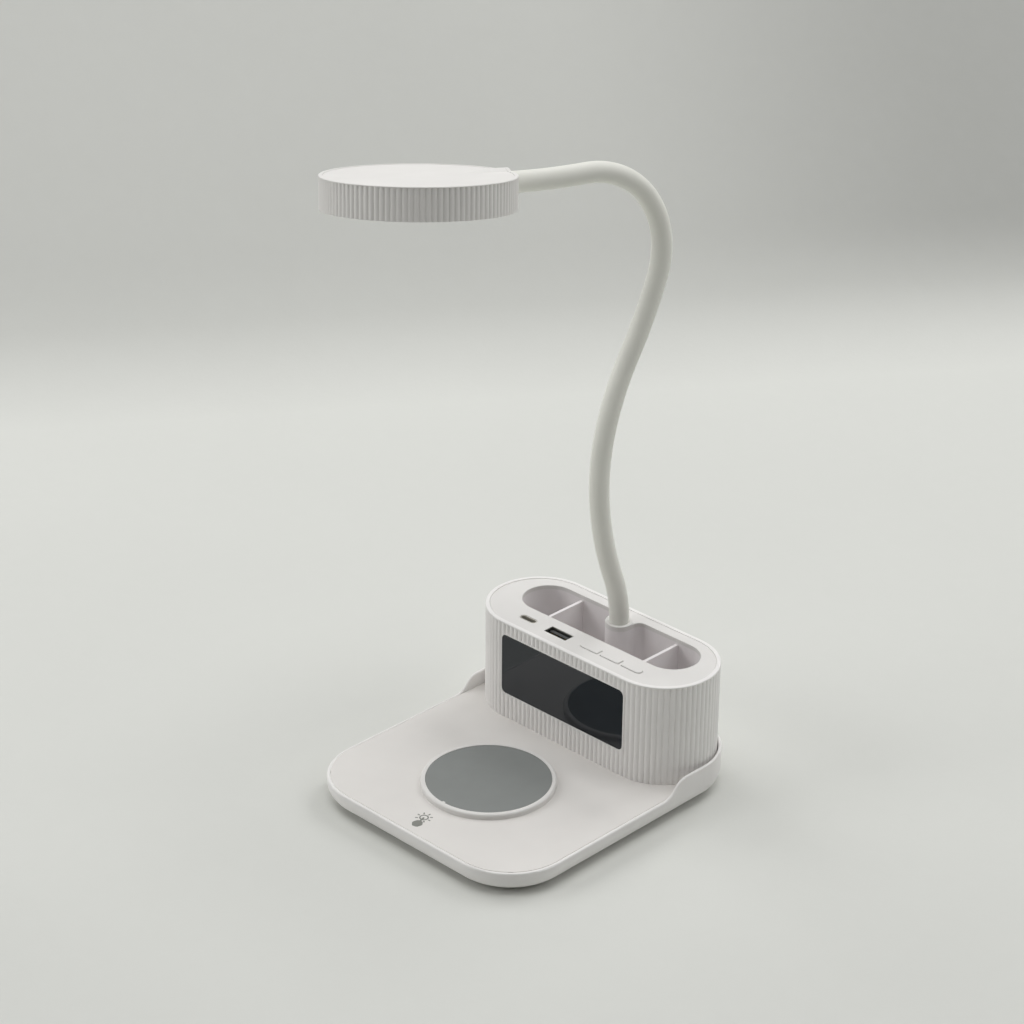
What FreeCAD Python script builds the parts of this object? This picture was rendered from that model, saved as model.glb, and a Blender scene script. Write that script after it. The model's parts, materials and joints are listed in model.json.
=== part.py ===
"""Desk lamp with a wireless charger, a clock and a pen holder in its base.

Millimetres, +Z up.  The origin is on the desk, under the middle of the base.
+X is the lamp's right and -Y its front.  One STEP file is written per piece.
"""
import FreeCAD, Part
import math
import os

Vector = FreeCAD.Vector
UP = Vector(0, 0, 1)
RIGHT = Vector(1, 0, 0)
BACK = Vector(0, 1, 0)

# ---------------------------------------------------------------- clearances
SLIDE_GAP = 0.2          # round a button in its hole
SEAT_GAP = 0.1           # round a cover in its rim
FIT_GAP = 0.05           # round a fitted pin, hose or ferrule
JOINT_GAP = 0.3          # between two links of the neck
AIR_GAP = 0.3            # between pieces that only pass each other
CORNER_GAP = 0.4         # between the holder's ends and the base's rear corners

# ---------------------------------------------------------------------- base
BASE_WIDTH = 129.8
BASE_DEPTH = 150.0
BASE_LIFT = 1.4          # underside above the desk
BASE_FLOOR = 2.0
BASE_ROOM = 5.6          # clear height inside
COVER_THICKNESS = 2.0
BASE_RIM = 1.5           # width of the rim round the cover
BASE_TUCK = 6.5          # radius that tucks the side wall under
COVER_LEDGE = 1.5        # shelf in the shell that carries the cover
RIM_ROUND = 0.7
REAR_RIM_RISE = 7.0      # rear rim above the cover
REAR_STEP_LEAD = 2.3     # the rim begins to rise this far before the holder
REAR_STEP_LENGTH = 14.5

# ---------------------------------------------------------- feet and ballast
FOOT_INSET = 19.2        # foot's middle from the base's sides
FOOT_RADIUS = 6.0
FOOT_RECESS = 0.8
FOOT_ROUND = 0.4
SCREW_BOSS_WALL = 3.5
SCREW_BOSS_HEIGHT = 2.6  # above the floor
COVER_POST_WALL = 1.7
SCREW_RADIUS = 1.4
SCREW_HEAD_OVERHANG = 1.2
SCREW_HEAD_HEIGHT = 1.4
BALLAST_SIDE = 26.0      # ballast's edge from the base's sides
BALLAST_FRONT = 10.0     # and from the base's front
BALLAST_REAR = 26.0      # and from its rear
BALLAST_CORNER = 8.0
BALLAST_ROOM = 2.0       # air over the ballast

# ------------------------------------------------------------------- charger
CHARGER_SETBACK = 52.25  # charger's middle from the base's front edge
RING_RADIUS = 29.9
RING_WIDTH = 2.2         # ring seen round the pad
RING_HEIGHT = 2.5        # above the cover
RING_FLOOR = 1.1
RING_ROUND = 0.9
RING_LANDING = 2.5       # ring that lies on the cover, outside its hole
RING_SKIRT = 1.4
RING_SKIRT_DEPTH = 1.6
PAD_SINK = 0.1           # pad below the ring's top
PAD_ROUND = 0.2
RING_TAB_WIDTH = 1.4     # tab in front that keys the pad
RING_TAB_REACH = 0.8
FERRITE_MARGIN = 1.7     # between ferrite and skirt
FERRITE_THICKNESS = 0.8
COIL_MARGIN = 1.5        # ferrite seen round the coil
COIL_BAND = 12.0
COIL_THICKNESS = 1.5
COIL_POST_RADIUS = 2.5
COIL_POST_INSET = 5.0    # post's middle from the ferrite's edge
TOUCH_SETBACK = 10.55    # touch key's middle from the base's front edge
TOUCH_LENGTH = 16.0
TOUCH_WIDTH = 10.0
TOUCH_THICKNESS = 1.0

# --------------------------------------------------------------- power inlet
POWER_BOARD_LENGTH = 22.0
POWER_BOARD_WIDTH = 15.0
POWER_BOARD_THICKNESS = 1.2
POCKET_SIDE = 2.0        # pocket beside the power socket
POCKET_DEPTH = 2.4
USB_C_WIDTH = 8.94
USB_C_HEIGHT = 3.2
USB_C_LENGTH = 7.4
USB_C_TONGUE_SIDE = 0.8  # clear beside the tongue
USB_C_TONGUE = 0.7
USB_C_TONGUE_SINK = 0.9
SOCKET_WALL = 0.3

# -------------------------------------------------------------------- holder
HOLDER_SIDE_GAP = 1.2    # holder to the base's rim, beside it
HOLDER_REAR_GAP = 0.6    # and behind it
HOLDER_WIDTH = 50.6
HOLDER_HEIGHT = 48.7     # above the cover
HOLDER_WALL = 2.3
HOLDER_LIP = 0.6         # smooth band above the ribs
HOLDER_LIP_ROUND = 0.45
LIP_PROUD = 0.05         # lips and window frame stand this far out of the ribs
RIB_PITCH = 2.6
RIB_DEPTH = 0.6
PLATE_INSET = 1.9
PLATE_RECESS = 0.15
PLATE_THICKNESS = 2.0
PLATE_ROUND = 0.3        # on the plate's upper edges
PLATE_LEDGE = 1.3
HOLDER_BOSS_WALL = 2.0
HOLDER_BOSS_HEIGHT = 12.0
HOLDER_SCREW_LENGTH = 8.0

# ------------------------------------------------------------ clock and keys
WINDOW_END = 0.1         # window's end from the end of the flat front
WINDOW_SILL = 12.7       # window's lower edge above the cover
WINDOW_HEAD = 6.2        # window's upper edge below the holder's top
WINDOW_CORNER = 2.6
WINDOW_FRAME = 0.6       # smooth edge left round the lens
WINDOW_LEDGE = 1.5       # step the lens is glued to
LENS_SETBACK = 0.15
LENS_THICKNESS = 1.4
CLOCK_MARGIN = 3.2       # clock module inside the window's edge
CLOCK_THICKNESS = 3.6
ROW_SETBACK = 10.0       # row of sockets and buttons behind the holder's front
BUTTON_LENGTH = 10.7
BUTTON_WIDTH = 3.6
BUTTON_SPACING = 1.7
BUTTON_GROUP_X = 20.4    # middle button
BUTTON_PROUD = 0.5
BUTTON_FLANGE_HEIGHT = 0.8
BUTTON_CORNER = 0.4
BUTTON_STEM_RADIUS = 1.3
SWITCH_LENGTH = 5.0
SWITCH_WIDTH = 3.6
SWITCH_HEIGHT = 3.5
SWITCH_PIN_RADIUS = 1.0
SWITCH_PIN_HEIGHT = 0.8
KEY_GAP = 0.8            # stem above the switch pin

# ------------------------------------------------------- sockets in the plate
USB_A_X = -11.3
USB_A_WIDTH = 13.1
USB_A_HEIGHT = 5.7
USB_A_TONGUE_SIDE = 0.7
USB_A_TONGUE = 1.8
USB_A_TONGUE_SINK = 1.0
USB_C_X = -30.1
SOCKET_SINK = 0.1        # socket mouth below the plate's top face
USB_C_MOUTH = 0.3        # plate's hole round the USB-C shell
BOARD_FRONT = 3.5        # board in front of the row
BOARD_REAR = 6.5         # board behind the row
BOARD_END = 3.5          # board beyond its outermost part
BOARD_THICKNESS = 1.6
BOARD_DEPTH = 15.0       # top of the board below the plate's top face
BOARD_POST_WALL = 1.2
BOARD_SCREW_RADIUS = 0.9

# -------------------------------------------------------------- compartments
OPENING_END = 12.6       # opening's end from the holder's end
OPENING_FRONT = 8.6      # opening's front from the row
OPENING_REAR = 7.0       # opening's rear from the holder's rear
TRAY_WALL = 1.3
TRAY_FLOOR = 1.6
TRAY_FLOOR_ROUND = 1.0
TRAY_LIFT = 4.4          # underside of the tray above the cover
DIVIDER_X = 28.8
DIVIDER_THICKNESS = 1.5
DIVIDER_DROP = 2.9       # below the plate's top face
NECK_REAR = 6.4          # neck's middle from the opening's rear
BOSS_WALL = 1.65
BOSS_FILLET = 3.5
BOSS_PROUD = 0.4

# ---------------------------------------------------------------------- neck
NECK_RADIUS = 4.5
CORE_RADIUS = 3.0
CORE_BORE = 1.4
NECK_PLANE = 71.3        # degrees from +X of the plane the neck bends in
NECK_LENGTH = 277.0     # along its middle, from the holder's top to the head
NECK_FIRST_LINK = 24.0
NECK_BENDS = (-18.4, 13.0, 16.5, 13.1, -8.1, -48.3, -58.7, 6.8)   # degrees, one per link
CUP_LIP = 0.23           # wall at a cup's rim
CORE_STOP = 1.5          # core below the pivot above it
SLEEVE_IN_BOSS = 14.0
FERRULE_WALL = 0.85      # at its threaded tail
FERRULE_TAIL = 3.4       # below the tray's floor
NUT_WALL = 1.6
NUT_HEIGHT = 2.5

# ---------------------------------------------------------------------- head
HEAD_RADIUS = 39.85
HEAD_HEIGHT = 13.6
HEAD_ROLL = -11.4        # degrees about the neck's last direction
HEAD_RIB_PITCH = 2.31
HEAD_RIB_DEPTH = 0.5
HEAD_LIP = 0.45
HEAD_LIP_ROUND = 0.3
HEAD_RIM = 1.7
HEAD_WALL = 3.6
HEAD_COVER = 1.8
HEAD_COVER_SINK = 0.15
COLLAR_WALL = 1.5
COLLAR_PROUD = 1.1       # above the head's top
COLLAR_LENGTH = 9.2
COLLAR_SHOULDER = 2.0
HUMP_TAPER = 11.0
LED_BOARD_MARGIN = 0.95  # between the board and the core's free end
LED_BOARD_THICKNESS = 1.2
LED_BOARD_DEPTH = 8.6    # below the head's top
LED_LENGTH = 2.8
LED_WIDTH = 3.5
LED_HEIGHT = 0.7
LED_EDGE = 5.0           # outer ring of chips from the board's edge
LED_RING_STEP = 9.0
LED_PITCH = 6.6
HEAD_POST_WALL = 1.3
HEAD_SCREW_RADIUS = 1.1
DIFFUSER_LEDGE = 1.0
DIFFUSER_THICKNESS = 1.5
DIFFUSER_SINK = 0.4
KEEPER_WALL = 1.15
KEEPER_THICKNESS = 1.0
KEEPER_TAIL = 3.0        # core beyond the keeper

# ------------------------------------------------------------ derived heights
FLOOR_TOP = BASE_LIFT + BASE_FLOOR
COVER_BOTTOM = FLOOR_TOP + BASE_ROOM
BASE_TOP = COVER_BOTTOM + COVER_THICKNESS
REAR_RIM_TOP = BASE_TOP + REAR_RIM_RISE
RING_TOP = BASE_TOP + RING_HEIGHT
PAD_SEAT = BASE_TOP + RING_FLOOR
COIL_BOTTOM = BASE_TOP - AIR_GAP - COIL_THICKNESS
FERRITE_BOTTOM = COIL_BOTTOM - FERRITE_THICKNESS
BALLAST_TOP = FERRITE_BOTTOM - BALLAST_ROOM
INLET_MIDDLE = FLOOR_TOP + POWER_BOARD_THICKNESS + USB_C_HEIGHT / 2
HOLDER_TOP = BASE_TOP + HOLDER_HEIGHT
WINDOW_BOTTOM = BASE_TOP + WINDOW_SILL
WINDOW_TOP = HOLDER_TOP - WINDOW_HEAD
PLATE_TOP = HOLDER_TOP - PLATE_RECESS
PLATE_BOTTOM = PLATE_TOP - PLATE_THICKNESS
TRAY_BOTTOM = BASE_TOP + TRAY_LIFT
TRAY_FLOOR_TOP = TRAY_BOTTOM + TRAY_FLOOR
BOARD_TOP = PLATE_TOP - BOARD_DEPTH
BOARD_BOTTOM = BOARD_TOP - BOARD_THICKNESS

# ----------------------------------------------------- derived sizes in plan
FRONT_Y = -BASE_DEPTH / 2
REAR_Y = BASE_DEPTH / 2
CHARGER_Y = FRONT_Y + CHARGER_SETBACK
TOUCH_Y = FRONT_Y + TOUCH_SETBACK
PAD_RADIUS = RING_RADIUS - RING_WIDTH
RING_HOLE_RADIUS = RING_RADIUS - RING_LANDING
SKIRT_INSIDE = RING_HOLE_RADIUS - SEAT_GAP - RING_SKIRT
FERRITE_RADIUS = SKIRT_INSIDE - FERRITE_MARGIN
COIL_OUTER = FERRITE_RADIUS - COIL_MARGIN
HOLDER_LENGTH = BASE_WIDTH - 2 * (BASE_RIM + HOLDER_SIDE_GAP)
HOLDER_REAR_Y = REAR_Y - BASE_RIM - HOLDER_REAR_GAP
HOLDER_Y = HOLDER_REAR_Y - HOLDER_WIDTH / 2
HOLDER_FRONT_Y = HOLDER_REAR_Y - HOLDER_WIDTH
HOLDER_BOSS_RADIUS = SCREW_RADIUS + HOLDER_BOSS_WALL
HOLDER_BOSS_X = HOLDER_LENGTH / 2 - HOLDER_WALL - HOLDER_BOSS_RADIUS + RIB_DEPTH
WINDOW_WIDTH = HOLDER_LENGTH - HOLDER_WIDTH - 2 * WINDOW_END
ROW_Y = HOLDER_FRONT_Y + ROW_SETBACK
OPENING_REAR_Y = HOLDER_REAR_Y - OPENING_REAR
OPENING_WIDTH = OPENING_REAR_Y - ROW_Y - OPENING_FRONT
OPENING_Y = OPENING_REAR_Y - OPENING_WIDTH / 2
OPENING_LENGTH = HOLDER_LENGTH - 2 * OPENING_END
NECK_Y = OPENING_REAR_Y - NECK_REAR
NECK_LINK = (NECK_LENGTH - NECK_FIRST_LINK) / (len(NECK_BENDS) - 1)
BORE_RADIUS = NECK_RADIUS + SEAT_GAP
BOSS_RADIUS = BORE_RADIUS + BOSS_WALL
CORE_SEAT = CORE_RADIUS + FIT_GAP
CUP_RADIUS = NECK_RADIUS + JOINT_GAP
CUP_RIM = math.sqrt(CUP_RADIUS ** 2 - (NECK_RADIUS - CUP_LIP) ** 2)
CORE_START = CUP_RADIUS + SLIDE_GAP
FERRULE_TAIL_RADIUS = CORE_SEAT + FERRULE_WALL
NUT_FLAT_RADIUS = FERRULE_TAIL_RADIUS + NUT_WALL
BUTTON_PITCH = BUTTON_LENGTH + BUTTON_SPACING
BUTTON_FLANGE = (BUTTON_SPACING - AIR_GAP) / 2
BUTTON_GROUP_LENGTH = 2 * BUTTON_PITCH + BUTTON_LENGTH
BOARD_POST_RADIUS = BOARD_SCREW_RADIUS + BOARD_POST_WALL
BUTTONS_END_X = BUTTON_GROUP_X + BUTTON_GROUP_LENGTH / 2
POST_BY_BUTTONS_X = BUTTONS_END_X + BUTTON_FLANGE + AIR_GAP + BOARD_POST_RADIUS
POST_BY_SOCKETS_X = (USB_C_X + USB_C_WIDTH / 2 + USB_A_X - USB_A_WIDTH / 2) / 2
BOARD_POSTS_X = (POST_BY_SOCKETS_X, POST_BY_BUTTONS_X)


def corner_radius():
    """Corner radius of the base that leaves CORNER_GAP round the holder's ends."""
    side = HOLDER_SIDE_GAP
    rear = HOLDER_REAR_GAP
    gap = min(CORNER_GAP, side, rear)
    spare = side + rear - gap
    extra = spare + math.sqrt(max(0.0, 2 * (side - gap) * (rear - gap)))
    return HOLDER_WIDTH / 2 + BASE_RIM + extra


BASE_CORNER = corner_radius()
FOOT_SPOTS = [
    (side * (BASE_WIDTH / 2 - FOOT_INSET), end * (BASE_DEPTH / 2 - FOOT_INSET))
    for side in (-1, 1)
    for end in (-1, 1)
]


# -------------------------------------------------------------- plane figures
def rounded_rectangle(width, depth, radius, z, x=0.0, y=0.0):
    """Face of a rectangle with round corners, centred on x and y."""
    reach_x = width / 2 - radius
    reach_y = depth / 2 - radius
    corners = []
    for side_x, side_y in ((1, -1), (1, 1), (-1, 1), (-1, -1)):
        centre = Vector(x + side_x * reach_x, y + side_y * reach_y, z)
        out = Vector(side_x, side_y, 0)
        first = (out + out.cross(UP)) * 0.5
        ways = (first, out * math.sqrt(0.5), out - first)
        corners.append([centre + way * radius for way in ways])
    edges = []
    for number, corner in enumerate(corners):
        following = corners[(number + 1) % len(corners)]
        edges.append(Part.Arc(*corner).toShape())
        if corner[2].distanceToPoint(following[0]) > radius * 1e-3:
            edges.append(Part.makeLine(corner[2], following[0]))
    return Part.Face(Part.Wire(edges))


def stadium(length, width, z, x=0.0, y=0.0):
    """Face of a straight-sided oval that lies along X."""
    radius = width / 2
    reach = length / 2 - radius
    right = x + reach
    left = x - reach
    edges = [
        Part.makeLine(Vector(left, y - radius, z), Vector(right, y - radius, z)),
        Part.Arc(
            Vector(right, y - radius, z), Vector(right + radius, y, z), Vector(right, y + radius, z)
        ).toShape(),
        Part.makeLine(Vector(right, y + radius, z), Vector(left, y + radius, z)),
        Part.Arc(
            Vector(left, y + radius, z), Vector(left - radius, y, z), Vector(left, y - radius, z)
        ).toShape(),
    ]
    return Part.Face(Part.Wire(edges))


def prism(face, height):
    """Solid that rises by height from a level face."""
    return face.extrude(UP * height)


def block(size, centre_x, centre_y, bottom):
    """Box by its size, its middle in plan and its lowest level."""
    corner = Vector(centre_x - size[0] / 2, centre_y - size[1] / 2, bottom)
    return Part.makeBox(size[0], size[1], size[2], corner)


def rod(radius, height, x, y, bottom):
    """Upright cylinder."""
    return Part.makeCylinder(radius, height, Vector(x, y, bottom))


def union(shapes):
    """One solid made of several that touch or overlap."""
    whole = shapes[0].fuse(shapes[1:])
    return whole.removeSplitter()


def edges_at(shape, level):
    """Edges of a shape that lie level at one height."""
    found = []
    for edge in shape.Edges:
        box = edge.BoundBox
        if abs(box.ZMin - level) < 1e-4 and abs(box.ZMax - level) < 1e-4:
            found.append(edge)
    return found


def ribbed_outline(place, perimeter, pitch, z):
    """Face whose edge is a row of round ribs.

    place(distance, inset) gives the plan point at a distance along the
    outline, moved in by 0 for a rib's crest and by 1 for the groove.
    """
    count = int(round(perimeter / pitch / 2)) * 2
    step = perimeter / count
    arcs = []
    for number in range(count):
        left = place((number - 0.5) * step, 1)
        crest = place(number * step, 0)
        right = place((number + 0.5) * step, 1)
        points = [Vector(p[0], p[1], z) for p in (left, crest, right)]
        arcs.append(Part.Arc(*points).toShape())
    return Part.Face(Part.Wire(arcs))


# ----------------------------------------------------------------------- base
def base_outline(inset, z):
    """Plan of the base, moved in by inset."""
    return rounded_rectangle(
        BASE_WIDTH - 2 * inset, BASE_DEPTH - 2 * inset, BASE_CORNER - inset, z
    )


def rim_trimmer():
    """Space above the rim: low in front, with an S up to the raised rear."""
    front_level = BASE_TOP
    rise = REAR_RIM_RISE
    run = REAR_STEP_LENGTH
    bend = (run * run + rise * rise) / (4 * rise)
    half_turn = math.asin(run / 2 / bend) / 2
    foot = Vector(0, HOLDER_FRONT_Y - REAR_STEP_LEAD, front_level)
    middle = foot + Vector(0, run / 2, rise / 2)
    head = foot + Vector(0, run, rise)
    dy = bend * math.sin(half_turn)
    dz = bend * (1 - math.cos(half_turn))
    lower = Part.Arc(foot, foot + Vector(0, dy, dz), middle).toShape()
    upper = Part.Arc(middle, head - Vector(0, dy, dz), head).toShape()
    reach = BASE_DEPTH
    start = Vector(0, -reach, front_level)
    stop = Vector(0, reach, REAR_RIM_TOP)
    roof = REAR_RIM_TOP + 4 * rise
    corners = [stop, Vector(0, reach, roof), Vector(0, -reach, roof), start]
    edges = [Part.makeLine(start, foot), lower, upper, Part.makeLine(head, stop)]
    for a, b in zip(corners, corners[1:]):
        edges.append(Part.makeLine(a, b))
    face = Part.Face(Part.Wire(edges))
    face.translate(RIGHT * -BASE_WIDTH)
    return face.extrude(RIGHT * 2 * BASE_WIDTH)


def base_shell():
    """Low tray with a tucked-under side wall and a rim that rises behind."""
    body = prism(base_outline(0, BASE_LIFT), REAR_RIM_TOP - BASE_LIFT)
    body = body.makeFillet(BASE_TUCK, edges_at(body, BASE_LIFT))
    seat = prism(base_outline(BASE_RIM, COVER_BOTTOM), REAR_RIM_TOP)
    hollow = prism(base_outline(BASE_RIM + COVER_LEDGE, FLOOR_TOP), BASE_TOP)
    body = body.cut([seat, hollow, rim_trimmer()])
    top_edges = [
        edge for edge in body.Edges
        if edge.BoundBox.ZMin > BASE_TOP - 1e-3 and edge.Length > 1.0
    ]
    body = body.makeFillet(RIM_ROUND, top_edges)
    boss_radius = SCREW_RADIUS + SCREW_BOSS_WALL
    bosses = [rod(boss_radius, SCREW_BOSS_HEIGHT, x, y, FLOOR_TOP) for x, y in FOOT_SPOTS]
    body = union([body] + bosses + coil_posts())
    holes = [power_pocket()]
    recess_top = BASE_LIFT + FOOT_RECESS
    head_radius = SCREW_RADIUS + SCREW_HEAD_OVERHANG + AIR_GAP
    for x, y in FOOT_SPOTS:
        holes.append(rod(FOOT_RADIUS + SEAT_GAP, FOOT_RECESS, x, y, BASE_LIFT))
        holes.append(rod(head_radius, SCREW_HEAD_HEIGHT + AIR_GAP, x, y, recess_top))
        holes.append(rod(SCREW_RADIUS + FIT_GAP, BASE_TOP, x, y, recess_top))
    return body.cut(holes)


def base_cover():
    """Flat plate that drops into the rim, with screw posts under it."""
    plate = prism(base_outline(BASE_RIM + SEAT_GAP, COVER_BOTTOM), COVER_THICKNESS)
    post_bottom = FLOOR_TOP + SCREW_BOSS_HEIGHT
    posts = [
        rod(SCREW_RADIUS + COVER_POST_WALL, COVER_BOTTOM - post_bottom, x, y, post_bottom)
        for x, y in FOOT_SPOTS
    ]
    pilot_depth = COVER_BOTTOM - post_bottom
    holes = [rod(SCREW_RADIUS + FIT_GAP, pilot_depth, x, y, post_bottom) for x, y in FOOT_SPOTS]
    holes.append(rod(RING_HOLE_RADIUS, BASE_TOP, 0, CHARGER_Y, COVER_BOTTOM))
    holes.append(rod(BOSS_RADIUS, BASE_TOP, 0, NECK_Y, COVER_BOTTOM))
    for side in (-1, 1):
        x = side * HOLDER_BOSS_X
        holes.append(rod(SCREW_RADIUS + AIR_GAP, BASE_TOP, x, HOLDER_Y, COVER_BOTTOM))
    return union([plate] + posts).cut(holes)


def rubber_feet():
    """Four soft pads that cover the base screws."""
    pads = []
    for x, y in FOOT_SPOTS:
        pad = rod(FOOT_RADIUS, BASE_LIFT + FOOT_RECESS, x, y, 0)
        pads.append(pad.makeFillet(FOOT_ROUND, edges_at(pad, 0)))
    return Part.makeCompound(pads)


def screw(radius, overhang, head_height, length, x, y, bottom):
    """Upright pan-head screw, head down; length is that of its shank."""
    head = rod(radius + overhang, head_height, x, y, bottom)
    return union([head, rod(radius, length, x, y, bottom + head_height)])


def case_screw(length, x, y, bottom):
    """One of the screws that hold the lamp's housing together."""
    return screw(SCREW_RADIUS, SCREW_HEAD_OVERHANG, SCREW_HEAD_HEIGHT, length, x, y, bottom)


def base_screws():
    """Screws that pull the cover's posts down on the shell."""
    bottom = BASE_LIFT + FOOT_RECESS + AIR_GAP
    length = COVER_BOTTOM - AIR_GAP - bottom - SCREW_HEAD_HEIGHT
    return Part.makeCompound([case_screw(length, x, y, bottom) for x, y in FOOT_SPOTS])


def ballast_plate():
    """Steel plate on the floor, pierced for the coil posts."""
    width = BASE_WIDTH - 2 * BALLAST_SIDE
    depth = BASE_DEPTH - BALLAST_FRONT - BALLAST_REAR
    middle = (BALLAST_FRONT - BALLAST_REAR) / 2
    thickness = BALLAST_TOP - FLOOR_TOP
    plate = prism(rounded_rectangle(width, depth, BALLAST_CORNER, FLOOR_TOP, 0, middle), thickness)
    hole_radius = COIL_POST_RADIUS + AIR_GAP
    holes = [rod(hole_radius, thickness, x, y, FLOOR_TOP) for x, y in coil_post_spots()]
    return plate.cut(holes)


# -------------------------------------------------------------------- charger
def coil_post_spots():
    """Plan places of the three posts under the charging coil."""
    circle = FERRITE_RADIUS - COIL_POST_INSET
    spots = []
    for turn in (90, 210, 330):
        angle = math.radians(turn)
        spots.append((circle * math.cos(angle), CHARGER_Y + circle * math.sin(angle)))
    return spots


def coil_posts():
    """Posts on the shell's floor that lift the coil to the pad."""
    height = FERRITE_BOTTOM - FLOOR_TOP
    return [rod(COIL_POST_RADIUS, height, x, y, FLOOR_TOP) for x, y in coil_post_spots()]


def ferrite_sheet():
    """Round ferrite behind the coil."""
    return rod(FERRITE_RADIUS, FERRITE_THICKNESS, 0, CHARGER_Y, FERRITE_BOTTOM)


def charging_coil():
    """Flat winding, drawn as the ring it fills."""
    outer = rod(COIL_OUTER, COIL_THICKNESS, 0, CHARGER_Y, COIL_BOTTOM)
    return outer.cut(rod(COIL_OUTER - COIL_BAND, COIL_THICKNESS, 0, CHARGER_Y, COIL_BOTTOM))


def charger_ring():
    """Shallow dish that stands on the cover and holds the pad."""
    outer = rod(RING_RADIUS, RING_HEIGHT, 0, CHARGER_Y, BASE_TOP)
    outer = outer.makeFillet(RING_ROUND, edges_at(outer, RING_TOP))
    well = rod(PAD_RADIUS + FIT_GAP, RING_HEIGHT, 0, CHARGER_Y, PAD_SEAT)
    skirt_bottom = BASE_TOP - RING_SKIRT_DEPTH
    skirt = rod(SKIRT_INSIDE + RING_SKIRT, RING_SKIRT_DEPTH, 0, CHARGER_Y, skirt_bottom)
    skirt = skirt.cut(rod(SKIRT_INSIDE, RING_SKIRT_DEPTH, 0, CHARGER_Y, skirt_bottom))
    return union([outer.cut(well), skirt, pad_key(0)])


def pad_key(grow):
    """Tab at the front of the ring's well, grown on its three free sides."""
    front = PAD_RADIUS + RING_WIDTH / 2
    back = PAD_RADIUS - RING_TAB_REACH - grow
    size = (RING_TAB_WIDTH + 2 * grow, front - back, RING_TOP - PAD_SINK - PAD_SEAT)
    return block(size, 0, CHARGER_Y - (front + back) / 2, PAD_SEAT)


def charger_pad():
    """Soft-touch disc that a phone lies on."""
    top = RING_TOP - PAD_SINK
    pad = rod(PAD_RADIUS, top - PAD_SEAT, 0, CHARGER_Y, PAD_SEAT)
    return pad.makeFillet(PAD_ROUND, edges_at(pad, top)).cut(pad_key(FIT_GAP))


def touch_sensor_board():
    """Touch electrode glued under the cover."""
    size = (TOUCH_LENGTH, TOUCH_WIDTH, TOUCH_THICKNESS)
    return block(size, 0, TOUCH_Y, COVER_BOTTOM - TOUCH_THICKNESS)


# ---------------------------------------------------------------- power inlet
def power_pocket():
    """Pocket and slot in the rear wall for the power plug."""
    height = USB_C_HEIGHT + 2 * AIR_GAP
    width = USB_C_WIDTH + 2 * POCKET_SIDE
    corner = Vector(-width / 2, REAR_Y - POCKET_DEPTH, INLET_MIDDLE - height / 2)
    pocket = Part.makeBox(width, POCKET_DEPTH, height, corner)
    slot = prism(stadium(USB_C_WIDTH + 2 * AIR_GAP, height, 0), POCKET_DEPTH + BASE_TUCK)
    slot.rotate(Vector(0, 0, 0), RIGHT, -90)
    slot.translate(Vector(0, REAR_Y - POCKET_DEPTH - BASE_TUCK, INLET_MIDDLE))
    return pocket.fuse(slot)


def usb_c_receptacle(length):
    """Metal shell and tongue of a USB-C receptacle, mouth upward."""
    shell = prism(stadium(USB_C_WIDTH, USB_C_HEIGHT, 0), length)
    inner_width = USB_C_WIDTH - 2 * SOCKET_WALL
    inner_height = USB_C_HEIGHT - 2 * SOCKET_WALL
    shell = shell.cut(prism(stadium(inner_width, inner_height, 2 * SOCKET_WALL), length))
    tongue_height = length - USB_C_TONGUE_SINK - SOCKET_WALL
    tongue_size = (inner_width - 2 * USB_C_TONGUE_SIDE, USB_C_TONGUE, tongue_height)
    return union([shell, block(tongue_size, 0, 0, SOCKET_WALL)])


def power_inlet():
    """USB-C power socket in the rear wall of the base."""
    socket = usb_c_receptacle(USB_C_LENGTH)
    socket.rotate(Vector(0, 0, 0), RIGHT, -90)
    socket.translate(Vector(0, REAR_Y - POCKET_DEPTH - USB_C_LENGTH, INLET_MIDDLE))
    return socket


def power_board():
    """Small board that carries the power socket."""
    rear = REAR_Y - BASE_RIM - COVER_LEDGE - AIR_GAP
    size = (POWER_BOARD_LENGTH, POWER_BOARD_WIDTH, POWER_BOARD_THICKNESS)
    return block(size, 0, rear - POWER_BOARD_WIDTH / 2, FLOOR_TOP)


# --------------------------------------------------------------------- holder
def holder_outline(inset, z):
    """Plan of the holder, moved in by inset."""
    return stadium(HOLDER_LENGTH - 2 * inset, HOLDER_WIDTH - 2 * inset, z, 0, HOLDER_Y)


def holder_point(distance, inset):
    """Plan point on the holder's outline, counted from the middle of the front."""
    radius = HOLDER_WIDTH / 2
    straight = HOLDER_LENGTH - HOLDER_WIDTH
    perimeter = 2 * straight + 2 * math.pi * radius
    along = distance % perimeter
    reach = radius - inset * RIB_DEPTH
    if along <= straight / 2 or along >= perimeter - straight / 2:
        x = along if along <= straight / 2 else along - perimeter
        return (x, HOLDER_Y - reach)
    along -= straight / 2
    if along <= math.pi * radius:
        turn = along / radius - math.pi / 2
        return (straight / 2 + reach * math.cos(turn), HOLDER_Y + reach * math.sin(turn))
    along -= math.pi * radius
    if along <= straight:
        return (straight / 2 - along, HOLDER_Y + reach)
    turn = (along - straight) / radius + math.pi / 2
    return (-straight / 2 + reach * math.cos(turn), HOLDER_Y + reach * math.sin(turn))


def window_cutter(grow, depth):
    """Rounded window-shaped prism that enters the holder's front by depth."""
    width = WINDOW_WIDTH + 2 * grow
    height = WINDOW_TOP - WINDOW_BOTTOM + 2 * grow
    face = rounded_rectangle(width, height, WINDOW_CORNER + grow, 0)
    cutter = prism(face, depth)
    cutter.rotate(Vector(0, 0, 0), RIGHT, 90)
    cutter.translate(Vector(0, HOLDER_FRONT_Y + depth, (WINDOW_TOP + WINDOW_BOTTOM) / 2))
    return cutter


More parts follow.
